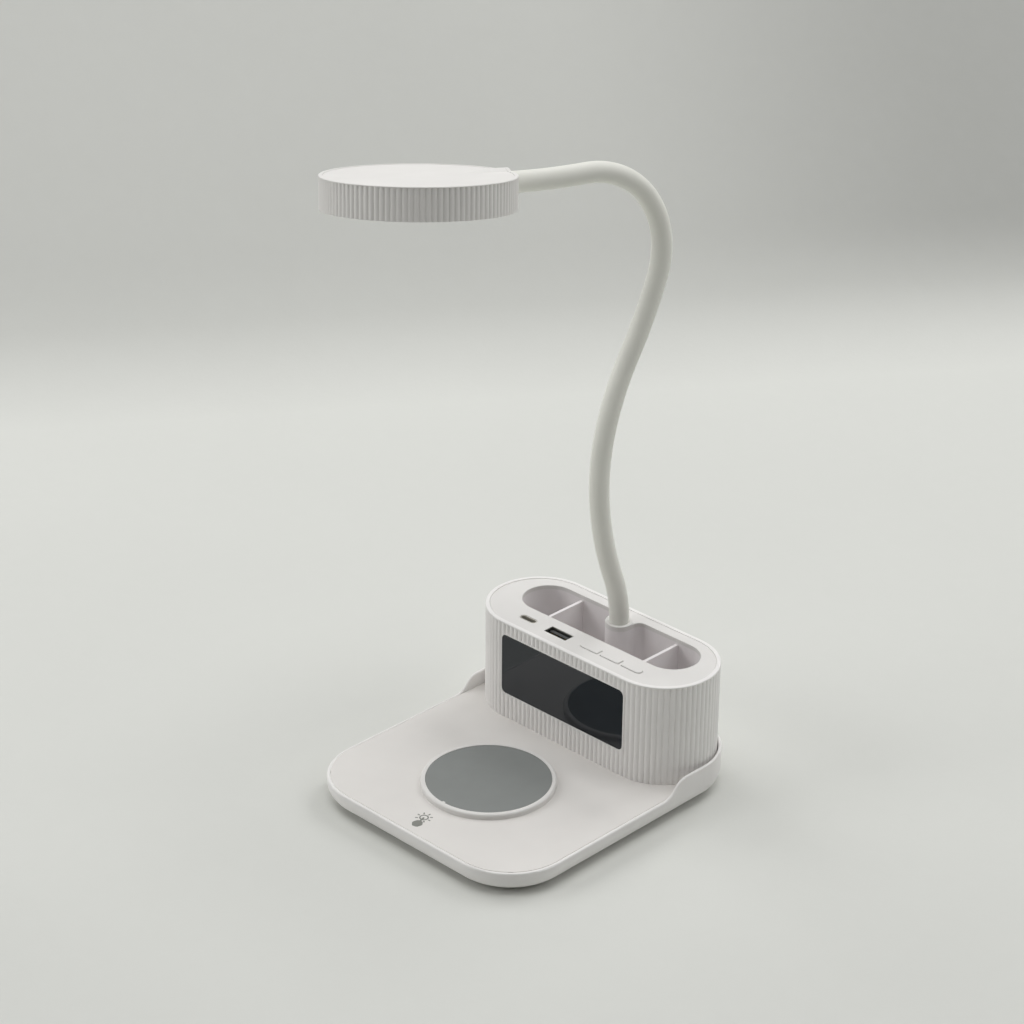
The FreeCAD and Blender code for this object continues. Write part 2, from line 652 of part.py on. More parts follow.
def holder_shell():
    """Ribbed oval housing with a smooth lip and a window in its flat front."""
    straight = HOLDER_LENGTH - HOLDER_WIDTH
    perimeter = 2 * straight + math.pi * HOLDER_WIDTH
    lip_bottom = HOLDER_TOP - HOLDER_LIP
    ribs = prism(ribbed_outline(holder_point, perimeter, RIB_PITCH, BASE_TOP), lip_bottom - BASE_TOP)
    lip = prism(holder_outline(-LIP_PROUD, lip_bottom), HOLDER_LIP)
    lip = lip.makeFillet(HOLDER_LIP_ROUND, edges_at(lip, HOLDER_TOP))
    shelf = PLATE_INSET + PLATE_LEDGE
    shelf_bottom = PLATE_BOTTOM - PLATE_LEDGE
    hollow = prism(holder_outline(HOLDER_WALL, BASE_TOP), shelf_bottom - BASE_TOP)
    neck_in = prism(holder_outline(max(shelf, HOLDER_WALL), BASE_TOP), HOLDER_TOP)
    seat = prism(holder_outline(PLATE_INSET, PLATE_BOTTOM), HOLDER_TOP)
    frame = window_cutter(WINDOW_FRAME, HOLDER_WALL + LIP_PROUD)
    lens_room = window_cutter(FIT_GAP, LENS_SETBACK + LENS_THICKNESS + LIP_PROUD)
    for cutter in (frame, lens_room):
        cutter.translate(BACK * -LIP_PROUD)
    body = ribs.fuse([lip, frame]).cut([hollow, neck_in, seat])
    inside = prism(holder_outline(HOLDER_WALL / 2, BASE_TOP), HOLDER_HEIGHT)
    bosses = []
    pilots = []
    screw_depth = HOLDER_SCREW_LENGTH + AIR_GAP
    for side in (-1, 1):
        x = side * HOLDER_BOSS_X
        boss = rod(HOLDER_BOSS_RADIUS, HOLDER_BOSS_HEIGHT, x, HOLDER_Y, BASE_TOP)
        bosses.append(boss.common(inside))
        pilots.append(rod(SCREW_RADIUS + FIT_GAP, screw_depth, x, HOLDER_Y, BASE_TOP))
    body = union([body] + bosses)
    view = window_cutter(-WINDOW_LEDGE, 2 * HOLDER_WALL)
    return body.cut([lens_room, view] + pilots)


def holder_screws():
    """Screws that hold the holder down, put in from under the cover."""
    length = COVER_THICKNESS + HOLDER_SCREW_LENGTH
    bottom = COVER_BOTTOM - SCREW_HEAD_HEIGHT
    spots = [side * HOLDER_BOSS_X for side in (-1, 1)]
    return Part.makeCompound([case_screw(length, x, HOLDER_Y, bottom) for x in spots])


def opening_prism(grow, bottom, top):
    """Prism over the compartment opening, grown outward."""
    face = stadium(OPENING_LENGTH + 2 * grow, OPENING_WIDTH + 2 * grow, bottom, 0, OPENING_Y)
    return prism(face, top - bottom)


def boss_prism(bottom, top):
    """Tongue from the rear wall that the neck stands in, flared at its root."""
    wall_y = OPENING_REAR_Y
    height = top - bottom
    round_end = rod(BOSS_RADIUS, height, 0, NECK_Y, bottom)
    size = (2 * BOSS_RADIUS, wall_y + TRAY_WALL - NECK_Y, height)
    root = block(size, 0, NECK_Y + size[1] / 2, bottom)
    flare_size = (2 * (BOSS_RADIUS + BOSS_FILLET), BOSS_FILLET, height)
    flare = block(flare_size, 0, wall_y - BOSS_FILLET / 2, bottom)
    for side in (-1, 1):
        x = side * (BOSS_RADIUS + BOSS_FILLET)
        flare = flare.cut(rod(BOSS_FILLET, height, x, wall_y - BOSS_FILLET, bottom))
    return union([round_end, root, flare])


def compartment_tray():
    """Three open compartments moulded as one, with the neck's boss behind."""
    outside = opening_prism(TRAY_WALL, TRAY_BOTTOM, PLATE_BOTTOM)
    inside = opening_prism(0, TRAY_FLOOR_TOP, PLATE_BOTTOM)
    inside = inside.cut(boss_prism(TRAY_BOTTOM, PLATE_TOP))
    inside = inside.makeFillet(TRAY_FLOOR_ROUND, edges_at(inside, TRAY_FLOOR_TOP))
    divider_top = min(PLATE_TOP - DIVIDER_DROP, PLATE_BOTTOM)
    for side in (-1, 1):
        size = (DIVIDER_THICKNESS, OPENING_WIDTH + TRAY_WALL, divider_top - TRAY_FLOOR_TOP)
        inside = inside.cut(block(size, side * DIVIDER_X, OPENING_Y, TRAY_FLOOR_TOP))
    body = outside.cut(inside)
    bore = rod(BORE_RADIUS, PLATE_TOP, 0, NECK_Y, TRAY_FLOOR_TOP)
    tail = rod(FERRULE_TAIL_RADIUS + FIT_GAP, PLATE_TOP, 0, NECK_Y, 0)
    return body.cut([bore, tail])


def button_x(number):
    """Middle of a button, counted from 0 at the left."""
    return BUTTON_GROUP_X + (number - 1) * BUTTON_PITCH


def button_prism(number, grow, bottom, top):
    """Prism of one button's plan, grown outward: a third of a round-ended bar."""
    width = BUTTON_WIDTH + 2 * grow
    height = top - bottom
    bar = stadium(BUTTON_GROUP_LENGTH + 2 * grow, width, bottom, BUTTON_GROUP_X, ROW_Y)
    size = (BUTTON_LENGTH + 2 * grow, width, height)
    return prism(bar, height).common(block(size, button_x(number), ROW_Y, bottom))


def holder_top_plate():
    """Inset top plate with the openings, the neck's rim and the board posts."""
    plate = prism(holder_outline(PLATE_INSET + SEAT_GAP, PLATE_BOTTOM), PLATE_THICKNESS)
    opening = opening_prism(0, PLATE_BOTTOM, PLATE_TOP).cut(boss_prism(PLATE_BOTTOM, PLATE_TOP))
    plate = plate.cut(opening)
    plate = plate.makeFillet(PLATE_ROUND, edges_at(plate, PLATE_TOP))
    rim = rod(BOSS_RADIUS, PLATE_THICKNESS + BOSS_PROUD, 0, NECK_Y, PLATE_BOTTOM)
    rim = rim.makeFillet(BOSS_PROUD / 2, edges_at(rim, PLATE_TOP + BOSS_PROUD))
    post_height = PLATE_BOTTOM - BOARD_TOP
    posts = [rod(BOARD_POST_RADIUS, post_height, x, ROW_Y, BOARD_TOP) for x in BOARD_POSTS_X]
    body = union([plate, rim] + posts)
    holes = [button_prism(number, SLIDE_GAP, PLATE_BOTTOM, PLATE_TOP) for number in range(3)]
    holes.append(rod(BORE_RADIUS, HOLDER_TOP, 0, NECK_Y, PLATE_BOTTOM))
    slot_a = (USB_A_WIDTH + 2 * FIT_GAP, USB_A_HEIGHT + 2 * FIT_GAP, PLATE_THICKNESS)
    holes.append(block(slot_a, USB_A_X, ROW_Y, PLATE_BOTTOM))
    slot_c = (USB_C_WIDTH + 2 * USB_C_MOUTH, USB_C_HEIGHT + 2 * USB_C_MOUTH)
    holes.append(prism(stadium(slot_c[0], slot_c[1], PLATE_BOTTOM, USB_C_X, ROW_Y), PLATE_THICKNESS))
    for x in BOARD_POSTS_X:
        holes.append(rod(BOARD_SCREW_RADIUS + FIT_GAP, post_height / 2, x, ROW_Y, BOARD_TOP))
    return body.cut(holes)


# ------------------------------------------------------ clock, keys, sockets
def display_lens():
    """Dark window over the clock."""
    lens = window_cutter(0, LENS_THICKNESS)
    lens.translate(BACK * LENS_SETBACK)
    return lens


def clock_module():
    """Clock display and its board, behind the lens."""
    front = HOLDER_FRONT_Y + LENS_SETBACK + LENS_THICKNESS
    height = WINDOW_TOP - WINDOW_BOTTOM - 2 * CLOCK_MARGIN
    size = (WINDOW_WIDTH - 2 * CLOCK_MARGIN, CLOCK_THICKNESS, height)
    return block(size, 0, front + CLOCK_THICKNESS / 2, WINDOW_BOTTOM + CLOCK_MARGIN)


def main_board():
    """Board under the plate that carries the sockets and the key switches."""
    left = USB_C_X - USB_C_WIDTH / 2 - BOARD_END
    right = POST_BY_BUTTONS_X + BOARD_END
    corner = Vector(left, ROW_Y - BOARD_FRONT, BOARD_BOTTOM)
    board = Part.makeBox(right - left, BOARD_FRONT + BOARD_REAR, BOARD_THICKNESS, corner)
    hole = BOARD_SCREW_RADIUS + FIT_GAP
    return board.cut([rod(hole, BOARD_THICKNESS, x, ROW_Y, BOARD_BOTTOM) for x in BOARD_POSTS_X])


def board_screws():
    """Screws that hold the main board to the plate's posts."""
    radius = BOARD_SCREW_RADIUS
    length = BOARD_THICKNESS + (PLATE_BOTTOM - BOARD_TOP) / 2 - AIR_GAP
    parts = [
        screw(radius, radius, radius, length, x, ROW_Y, BOARD_BOTTOM - radius)
        for x in BOARD_POSTS_X
    ]
    return Part.makeCompound(parts)


def usb_a_socket():
    """Upright USB-A receptacle: metal shell, floor and contact tongue."""
    height = PLATE_TOP - SOCKET_SINK - BOARD_TOP
    shell = block((USB_A_WIDTH, USB_A_HEIGHT, height), USB_A_X, ROW_Y, BOARD_TOP)
    inner_width = USB_A_WIDTH - 2 * SOCKET_WALL
    inner_height = USB_A_HEIGHT - 2 * SOCKET_WALL
    floor = BOARD_TOP + 2 * SOCKET_WALL
    shell = shell.cut(block((inner_width, inner_height, height), USB_A_X, ROW_Y, floor))
    tongue_y = ROW_Y + (inner_height - USB_A_TONGUE) / 4
    tongue_size = (inner_width - 2 * USB_A_TONGUE_SIDE, USB_A_TONGUE, height - USB_A_TONGUE_SINK)
    return union([shell, block(tongue_size, USB_A_X, tongue_y, BOARD_TOP)])


def usb_c_socket():
    """Upright USB-C receptacle."""
    socket = usb_c_receptacle(PLATE_TOP - SOCKET_SINK - BOARD_TOP)
    socket.translate(Vector(USB_C_X, ROW_Y, BOARD_TOP))
    return socket


def key_switches():
    """Tactile switches, one under each button."""
    parts = []
    for number in range(3):
        x = button_x(number)
        body = block((SWITCH_LENGTH, SWITCH_WIDTH, SWITCH_HEIGHT), x, ROW_Y, BOARD_TOP)
        pin = rod(SWITCH_PIN_RADIUS, SWITCH_PIN_HEIGHT, x, ROW_Y, BOARD_TOP + SWITCH_HEIGHT)
        parts.append(union([body, pin]))
    return Part.makeCompound(parts)


def button(number):
    """One push button: cap, flange under the plate and stem."""
    x = button_x(number)
    flange_top = PLATE_BOTTOM - AIR_GAP
    flange_bottom = flange_top - BUTTON_FLANGE_HEIGHT
    cap_top = PLATE_TOP + BUTTON_PROUD
    cap = button_prism(number, 0, flange_bottom, cap_top)
    cap = cap.makeFillet(BUTTON_CORNER, edges_at(cap, cap_top))
    flange_length = BUTTON_LENGTH + 2 * BUTTON_FLANGE
    flange_width = BUTTON_WIDTH + 2 * BUTTON_FLANGE
    flange = block((flange_length, flange_width, BUTTON_FLANGE_HEIGHT), x, ROW_Y, flange_bottom)
    stem_bottom = BOARD_TOP + SWITCH_HEIGHT + SWITCH_PIN_HEIGHT + KEY_GAP
    stem = rod(BUTTON_STEM_RADIUS, flange_bottom - stem_bottom, x, ROW_Y, stem_bottom)
    return union([cap, flange, stem])


# ----------------------------------------------------------------------- neck
class NeckLine:
    """Centre line of the neck: level arcs end to end in one upright plane."""

    def __init__(self):
        turn = math.radians(NECK_PLANE)
        self.along = Vector(math.cos(turn), math.sin(turn), 0)
        self.across = Vector(-math.sin(turn), math.cos(turn), 0)
        self.links = []
        point = Vector(0, NECK_Y, HOLDER_TOP)
        heading = 0.0
        for number, bend_degrees in enumerate(NECK_BENDS):
            length = NECK_FIRST_LINK if number == 0 else NECK_LINK
            bend = math.radians(bend_degrees)
            self.links.append((point, heading, bend, length))
            point = self.point(number, length)
            heading += bend
        self.end = point
        self.end_heading = heading

    def tangent(self, heading):
        """Unit vector at an angle from upright towards the plane's heading."""
        return self.along * math.sin(heading) + UP * math.cos(heading)

    def normal(self, heading):
        """Unit vector square to the tangent, in the neck's plane."""
        return self.along * math.cos(heading) - UP * math.sin(heading)

    def centre(self, number):
        """Centre of a link's arc."""
        point, heading, bend, length = self.links[number]
        return point + self.normal(heading) * (length / bend)

    def point(self, number, distance):
        """Point on a link at a distance from its lower pivot."""
        point, heading, bend, length = self.links[number]
        if bend == 0:
            return point + self.tangent(heading) * distance
        radius = length / bend
        later = heading + bend * distance / length
        return self.centre(number) - self.normal(later) * radius

    def hose(self, number, radius, start, stop):
        """Round bar along part of a link."""
        heading, bend, length = self.links[number][1:]
        base = self.point(number, start)
        direction = self.tangent(heading + bend * start / length)
        if bend == 0:
            return Part.makeCylinder(radius, stop - start, base, direction)
        edge = Part.Circle(base, direction, radius).toShape()
        face = Part.Face(Part.Wire([edge]))
        angle = math.degrees(bend) * (stop - start) / length
        return face.revolve(self.centre(number), self.across, angle)

    def direction(self, number, distance):
        """Tangent of a link at a distance from its lower pivot."""
        heading, bend, length = self.links[number][1:]
        return self.tangent(heading + bend * distance / length)


NECK = NeckLine()


def neck_sleeve(number):
    """Rubber skin of one link: cup below, dome above, bored for the core."""
    last = len(NECK_BENDS) - 1
    length = NECK.links[number][3]
    end = NECK.point(number, length)
    ahead = NECK.direction(number, length)
    bore_radius = CORE_SEAT
    if number == 0:
        bottom = HOLDER_TOP - SLEEVE_IN_BOSS
        root = rod(NECK_RADIUS, SLEEVE_IN_BOSS, 0, NECK_Y, bottom)
        root_bore = rod(bore_radius, SLEEVE_IN_BOSS, 0, NECK_Y, bottom)
        start = 0
    else:
        start = CUP_RIM
    body = NECK.hose(number, NECK_RADIUS, start, length)
    if number == last:
        tip = Part.makeCylinder(NECK_RADIUS, SLEEVE_IN_HEAD, end, ahead)
        body = union([body, tip])
        bore = NECK.hose(number, bore_radius, start, length)
        tip_bore = Part.makeCylinder(bore_radius, SLEEVE_IN_HEAD, end, ahead)
        holes = [bore, tip_bore]
    else:
        dome = Part.makeSphere(NECK_RADIUS, end, ahead, 0, 90, 360)
        body = union([body, dome])
        holes = [NECK.hose(number, bore_radius, start, length - CORE_STOP + FIT_GAP)]
    if number == 0:
        body = union([body, root])
        holes.append(root_bore)
    else:
        holes.append(Part.makeSphere(CUP_RADIUS, NECK.links[number][0]))
    return body.cut(holes)


def neck_core(number):
    """Steel gooseneck hose inside one link, with its wire bore."""
    last = len(NECK_BENDS) - 1
    length = NECK.links[number][3]
    if number == 0:
        bottom = TRAY_BOTTOM - FERRULE_TAIL
        root_height = HOLDER_TOP - bottom
        parts = [rod(CORE_RADIUS, root_height, 0, NECK_Y, bottom)]
        bores = [rod(CORE_BORE, root_height, 0, NECK_Y, bottom)]
        start = 0
        stop = length - CORE_STOP
    else:
        parts = []
        bores = []
        start = CORE_START
        stop = length if number == last else length - CORE_STOP
    parts.append(NECK.hose(number, CORE_RADIUS, start, stop))
    bores.append(NECK.hose(number, CORE_BORE, start, stop))
    if number == last:
        end = NECK.point(number, length)
        ahead = NECK.direction(number, length)
        parts.append(Part.makeCylinder(CORE_RADIUS, CORE_IN_HEAD, end, ahead))
        bores.append(Part.makeCylinder(CORE_BORE, CORE_IN_HEAD, end, ahead))
    body = union(parts) if len(parts) > 1 else parts[0]
    return body.cut(bores)


def neck_ferrule():
    """Brass sleeve in the boss that grips the core, threaded below."""
    top = HOLDER_TOP - SLEEVE_IN_BOSS - FIT_GAP
    body = rod(BORE_RADIUS - FIT_GAP, top - TRAY_FLOOR_TOP, 0, NECK_Y, TRAY_FLOOR_TOP)
    tail_bottom = TRAY_BOTTOM - FERRULE_TAIL
    tail = rod(FERRULE_TAIL_RADIUS, TRAY_FLOOR_TOP - tail_bottom, 0, NECK_Y, tail_bottom)
    return union([body, tail]).cut(rod(CORE_SEAT, top, 0, NECK_Y, tail_bottom))


def neck_nut():
    """Hexagon nut that pulls the ferrule down on the tray."""
    corner = NUT_FLAT_RADIUS * 2 / math.sqrt(3)
    bottom = TRAY_BOTTOM - NUT_HEIGHT
    points = []
    for side in range(7):
        turn = math.radians(60 * side)
        points.append(Vector(corner * math.cos(turn), NECK_Y + corner * math.sin(turn), bottom))
    hexagon = prism(Part.Face(Part.makePolygon(points)), NUT_HEIGHT)
    return hexagon.cut(rod(FERRULE_TAIL_RADIUS + FIT_GAP, NUT_HEIGHT, 0, NECK_Y, bottom))


# ----------------------------------------------------------------------- head
# The head is drawn about its own axis: top face at z = 0, the neck enters
# along +X.  place_head() then carries it to the end of the neck.
COLLAR_RADIUS = NECK_RADIUS + COLLAR_WALL
COLLAR_START = HEAD_RADIUS - COLLAR_LENGTH
HEAD_NECK_DROP = COLLAR_RADIUS - COLLAR_PROUD
SLEEVE_IN_HEAD = COLLAR_LENGTH - COLLAR_SHOULDER
CORE_IN_HEAD = COLLAR_LENGTH + KEEPER_THICKNESS + KEEPER_TAIL
KEEPER_RADIUS = CORE_SEAT + KEEPER_WALL
LED_BOARD_RADIUS = HEAD_RADIUS - CORE_IN_HEAD - LED_BOARD_MARGIN
LED_RING_RADII = (LED_BOARD_RADIUS - LED_EDGE, LED_BOARD_RADIUS - LED_EDGE - LED_RING_STEP)
HEAD_POST_RADIUS = HEAD_SCREW_RADIUS + HEAD_POST_WALL
HEAD_POST_CIRCLE = sum(LED_RING_RADII) / 2
HEAD_SEAT_RADIUS = HEAD_RADIUS - HEAD_RIM
HEAD_INNER_RADIUS = HEAD_RADIUS - HEAD_WALL
HEAD_COVER_BOTTOM = -HEAD_COVER_SINK - HEAD_COVER
DIFFUSER_TOP = -HEAD_HEIGHT + DIFFUSER_SINK + DIFFUSER_THICKNESS


def place_head(shape):
    """Carry a shape from the head's own axes to the end of the neck."""
    ahead = NECK.tangent(NECK.end_heading)
    x_axis = ahead * -1
    up = NECK.normal(NECK.end_heading)
    if up.z < 0:
        up = up * -1
    roll = FreeCAD.Rotation(x_axis, HEAD_ROLL)
    up = roll.multVec(up)
    y_axis = up.cross(x_axis)
    origin = NECK.end - x_axis * HEAD_RADIUS + up * HEAD_NECK_DROP
    matrix = FreeCAD.Matrix(
        x_axis.x, y_axis.x, up.x, origin.x,
        x_axis.y, y_axis.y, up.y, origin.y,
        x_axis.z, y_axis.z, up.z, origin.z,
        0, 0, 0, 1,
    )
    return moved(shape, matrix)


def moved(shape, matrix):
    """Rigid copy of a shape at a new placement."""
    copy = shape.copy()
    copy.Placement = FreeCAD.Placement(matrix).multiply(copy.Placement)
    return copy


def disc(radius, bottom, top):
    """Round plate about the head's axis."""
    return Part.makeCylinder(radius, top - bottom, Vector(0, 0, bottom))


def neck_bar(radius, start, stop):
    """Bar along the neck's entry into the head."""
    return Part.makeCylinder(radius, stop - start, Vector(start, 0, -HEAD_NECK_DROP), RIGHT)


def head_point(distance, inset):
    """Plan point on the head's ribbed edge."""
    turn = distance / HEAD_RADIUS
    reach = HEAD_RADIUS - inset * HEAD_RIB_DEPTH
    return (reach * math.cos(turn), reach * math.sin(turn))


def head_housing():
    """Ribbed ring with seats for cover and diffuser, and the neck's collar."""
    perimeter = 2 * math.pi * HEAD_RADIUS
    face = ribbed_outline(head_point, perimeter, HEAD_RIB_PITCH, -HEAD_HEIGHT)
    ribs = prism(face, HEAD_HEIGHT - HEAD_LIP)
    lip = disc(HEAD_RADIUS + LIP_PROUD, -HEAD_LIP, 0)
    lip = lip.makeFillet(HEAD_LIP_ROUND, edges_at(lip, 0))
    collar = neck_bar(COLLAR_RADIUS, COLLAR_START, HEAD_RADIUS + COLLAR_RADIUS)
    collar = collar.common(disc(HEAD_RADIUS, -HEAD_HEIGHT, HEAD_HEIGHT))
    through = disc(HEAD_INNER_RADIUS, -HEAD_HEIGHT, HEAD_HEIGHT)
    seat = disc(HEAD_SEAT_RADIUS, HEAD_COVER_BOTTOM, HEAD_HEIGHT)
    lens_seat = disc(HEAD_INNER_RADIUS + DIFFUSER_LEDGE + SEAT_GAP, -HEAD_HEIGHT, DIFFUSER_TOP)
    ring = union([ribs, lip]).cut(through)
    body = union([ring, collar]).cut([seat, lens_seat])
    sleeve_bore = neck_bar(NECK_RADIUS + FIT_GAP, COLLAR_START + COLLAR_SHOULDER, 2 * HEAD_RADIUS)
    core_bore = neck_bar(CORE_SEAT, COLLAR_START - COLLAR_SHOULDER, 2 * HEAD_RADIUS)
    return body.cut([sleeve_bore, core_bore])


def head_top_cover():
    """Inset disc with a hump over the neck and posts for the LED board."""
    plate = disc(HEAD_SEAT_RADIUS - SEAT_GAP, HEAD_COVER_BOTTOM, -HEAD_COVER_SINK)
    axis_point = Vector(COLLAR_START - HUMP_TAPER, 0, -HEAD_NECK_DROP)
    ramp = Part.makeCone(HEAD_NECK_DROP - HEAD_COVER / 4, COLLAR_RADIUS, HUMP_TAPER, axis_point, RIGHT)
    crown = neck_bar(COLLAR_RADIUS, COLLAR_START, HEAD_RADIUS)
    window = disc(HEAD_SEAT_RADIUS - SEAT_GAP, HEAD_COVER_BOTTOM, HEAD_HEIGHT)
    hump = union([ramp, crown]).common(window)
    posts = []
    pilots = []
    post_height = HEAD_COVER_BOTTOM + LED_BOARD_DEPTH
    for x, y in head_post_spots():
        posts.append(rod(HEAD_POST_RADIUS, post_height, x, y, -LED_BOARD_DEPTH))
        pilots.append(rod(HEAD_SCREW_RADIUS + FIT_GAP, post_height - AIR_GAP, x, y, -LED_BOARD_DEPTH))
    body = union([plate, hump] + posts)
    sleeve_room = neck_bar(NECK_RADIUS + FIT_GAP, COLLAR_START + COLLAR_SHOULDER, 2 * HEAD_RADIUS)
    core_room = neck_bar(CORE_SEAT, COLLAR_START - HUMP_TAPER, 2 * HEAD_RADIUS)
    clip_start = COLLAR_START - KEEPER_THICKNESS - AIR_GAP
    clip_room = neck_bar(KEEPER_RADIUS + AIR_GAP, clip_start, COLLAR_START + AIR_GAP)
    return body.cut([sleeve_room, core_room, clip_room] + pilots)


def head_post_spots():
    """Places of the three LED board posts, clear of the neck."""
    spots = []
    for turn in (60, 180, 300):
        angle = math.radians(turn)
        spots.append((HEAD_POST_CIRCLE * math.cos(angle), HEAD_POST_CIRCLE * math.sin(angle)))
    return spots


def led_board():
    """Round aluminium board."""
    bottom = -LED_BOARD_DEPTH - LED_BOARD_THICKNESS
    board = disc(LED_BOARD_RADIUS, bottom, -LED_BOARD_DEPTH)
    holes = [
        rod(HEAD_SCREW_RADIUS + FIT_GAP, LED_BOARD_THICKNESS, x, y, bottom)
        for x, y in head_post_spots()
    ]
    return board.cut(holes)


def led_chips():
    """Light-emitting chips in rings under the board."""
    parts = []
    top = -LED_BOARD_DEPTH - LED_BOARD_THICKNESS
    for radius in LED_RING_RADII:
        count = int(2 * math.pi * radius / LED_PITCH)
        for number in range(count):
            chip = block((LED_LENGTH, LED_WIDTH, LED_HEIGHT), radius, 0, top - LED_HEIGHT)
            chip.rotate(Vector(0, 0, 0), UP, 360.0 * (number + 0.5) / count)
            parts.append(chip)
    return Part.makeCompound(parts)


def head_screws():
    """Screws that hold the LED board to the cover's posts."""
    radius = HEAD_SCREW_RADIUS
    bottom = -LED_BOARD_DEPTH - LED_BOARD_THICKNESS - radius
    length = LED_BOARD_THICKNESS + 2 * HEAD_POST_RADIUS
    parts = [screw(radius, radius, radius, length, x, y, bottom) for x, y in head_post_spots()]
    return Part.makeCompound(parts)


def diffuser():
    """Opal disc that closes the head from below."""
    radius = HEAD_INNER_RADIUS + DIFFUSER_LEDGE
    plate = disc(radius, DIFFUSER_TOP - DIFFUSER_THICKNESS, DIFFUSER_TOP)
    level = DIFFUSER_TOP - DIFFUSER_THICKNESS
    return plate.makeFillet(DIFFUSER_SINK, edges_at(plate, level))


def neck_keeper():
    """Snap ring that holds the core against the inside of the collar."""
    start = COLLAR_START - KEEPER_THICKNESS
    ring = neck_bar(KEEPER_RADIUS, start, COLLAR_START)
    mouth = Part.makeBox(
        KEEPER_THICKNESS, CORE_RADIUS, 2 * KEEPER_RADIUS,
        Vector(start, -CORE_RADIUS / 2, -HEAD_NECK_DROP - 2 * KEEPER_RADIUS),
    )
    return ring.cut([neck_bar(CORE_SEAT, start, COLLAR_START), mouth])


# ---------------------------------------------------------------------- write
def all_pieces():
    """Every piece of the lamp by name."""
    pieces = {
        "base_shell": base_shell(),
        "base_cover": base_cover(),
        "rubber_feet": rubber_feet(),
        "base_screws": base_screws(),
        "ballast_plate": ballast_plate(),
        "charger_ring": charger_ring(),
        "charger_pad": charger_pad(),
        "charging_coil": charging_coil(),
        "ferrite_sheet": ferrite_sheet(),
        "touch_sensor_board": touch_sensor_board(),
        "power_inlet": power_inlet(),
        "power_board": power_board(),
        "holder_shell": holder_shell(),
        "holder_screws": holder_screws(),
        "holder_top_plate": holder_top_plate(),
        "compartment_tray": compartment_tray(),
        "display_lens": display_lens(),
        "clock_module": clock_module(),
        "main_board": main_board(),
        "board_screws": board_screws(),
        "usb_a_socket": usb_a_socket(),
        "usb_c_socket": usb_c_socket(),
        "key_switches": key_switches(),
        "neck_ferrule": neck_ferrule(),
        "neck_nut": neck_nut(),
    }
    for number in range(3):
        pieces["button_%d" % (number + 1)] = button(number)
    for number in range(len(NECK_BENDS)):
        pieces["neck_sleeve_%d" % (number + 1)] = neck_sleeve(number)
        pieces["neck_core_%d" % (number + 1)] = neck_core(number)
    in_head = {
        "head_housing": head_housing(),
        "head_top_cover": head_top_cover(),
        "led_board": led_board(),
        "led_chips": led_chips(),
        "head_screws": head_screws(),
        "diffuser": diffuser(),
        "neck_keeper": neck_keeper(),
    }
    for name, shape in in_head.items():
        pieces[name] = place_head(shape)
    return pieces


os.makedirs("parts", exist_ok=True)
for name, shape in all_pieces().items():
    shape.exportStep("parts/%s.step" % name)
    facts = (name, len(shape.Solids), shape.Volume, shape.isValid())
    print("%-20s solids %2d  volume %9.1f mm3  valid %s" % facts)
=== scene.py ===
"""Looks of a desk lamp with a charging pad, a clock and a pen holder in its base.

Everything is in metres, +Z up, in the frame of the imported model: the origin is on the
desk under the middle of the base, +X is the lamp's right and -Y its front.
"""
import json
import logging
import math
from collections.abc import Callable
from dataclasses import dataclass, field
from enum import Enum

import bpy
from mathutils import Matrix, Vector

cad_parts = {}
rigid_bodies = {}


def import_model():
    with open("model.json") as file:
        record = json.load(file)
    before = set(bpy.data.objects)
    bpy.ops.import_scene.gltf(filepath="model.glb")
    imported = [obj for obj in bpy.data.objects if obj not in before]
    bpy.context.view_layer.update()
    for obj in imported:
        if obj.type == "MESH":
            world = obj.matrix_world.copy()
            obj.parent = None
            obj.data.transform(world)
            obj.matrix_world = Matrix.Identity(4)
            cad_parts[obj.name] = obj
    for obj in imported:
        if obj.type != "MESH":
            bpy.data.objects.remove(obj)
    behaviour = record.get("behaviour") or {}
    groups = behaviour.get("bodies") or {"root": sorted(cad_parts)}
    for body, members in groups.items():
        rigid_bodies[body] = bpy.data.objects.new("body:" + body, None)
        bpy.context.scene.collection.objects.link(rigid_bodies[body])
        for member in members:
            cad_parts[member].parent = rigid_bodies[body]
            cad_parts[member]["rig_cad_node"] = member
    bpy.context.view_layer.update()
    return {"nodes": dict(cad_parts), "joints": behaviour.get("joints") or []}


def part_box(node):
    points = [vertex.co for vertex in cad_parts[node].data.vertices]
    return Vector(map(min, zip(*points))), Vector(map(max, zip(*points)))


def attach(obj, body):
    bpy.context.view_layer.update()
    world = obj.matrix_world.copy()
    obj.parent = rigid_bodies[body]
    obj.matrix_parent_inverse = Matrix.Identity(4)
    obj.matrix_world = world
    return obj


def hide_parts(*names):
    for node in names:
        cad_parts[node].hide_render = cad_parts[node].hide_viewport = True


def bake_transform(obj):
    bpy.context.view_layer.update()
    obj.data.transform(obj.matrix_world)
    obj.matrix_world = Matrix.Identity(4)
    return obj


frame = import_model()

Tree = bpy.types.NodeTree
Output = bpy.types.NodeSocket
Piece = bpy.types.Object

MM = 0.001
UP = Vector((0, 0, 1))
# Corners closer than this are one.
WELD = 1e-6
# A face is level if its normal's z is over this.
LEVEL = 0.9
# Directions are told apart in this many steps per unit.
DIRECTION_STEPS = 50
log = logging.getLogger("desk_lamp")


# ------------------------------------------------------------------ node tools
def srgb(code: str) -> tuple[float, float, float, float]:
    """Turns an sRGB hex colour into the linear colour that shaders take.

    Args:
        code: six hex digits, with or without a leading hash.

    Returns:
        Linear red, green, blue and an alpha of 1.
    """
    digits = code.lstrip("#")
    channels = []
    for place in (0, 2, 4):
        value = int(digits[place:place + 2], 16) / 255
        linear = value / 12.92 if value <= 0.04045 else ((value + 0.055) / 1.055) ** 2.4
        channels.append(linear)
    return (channels[0], channels[1], channels[2], 1.0)


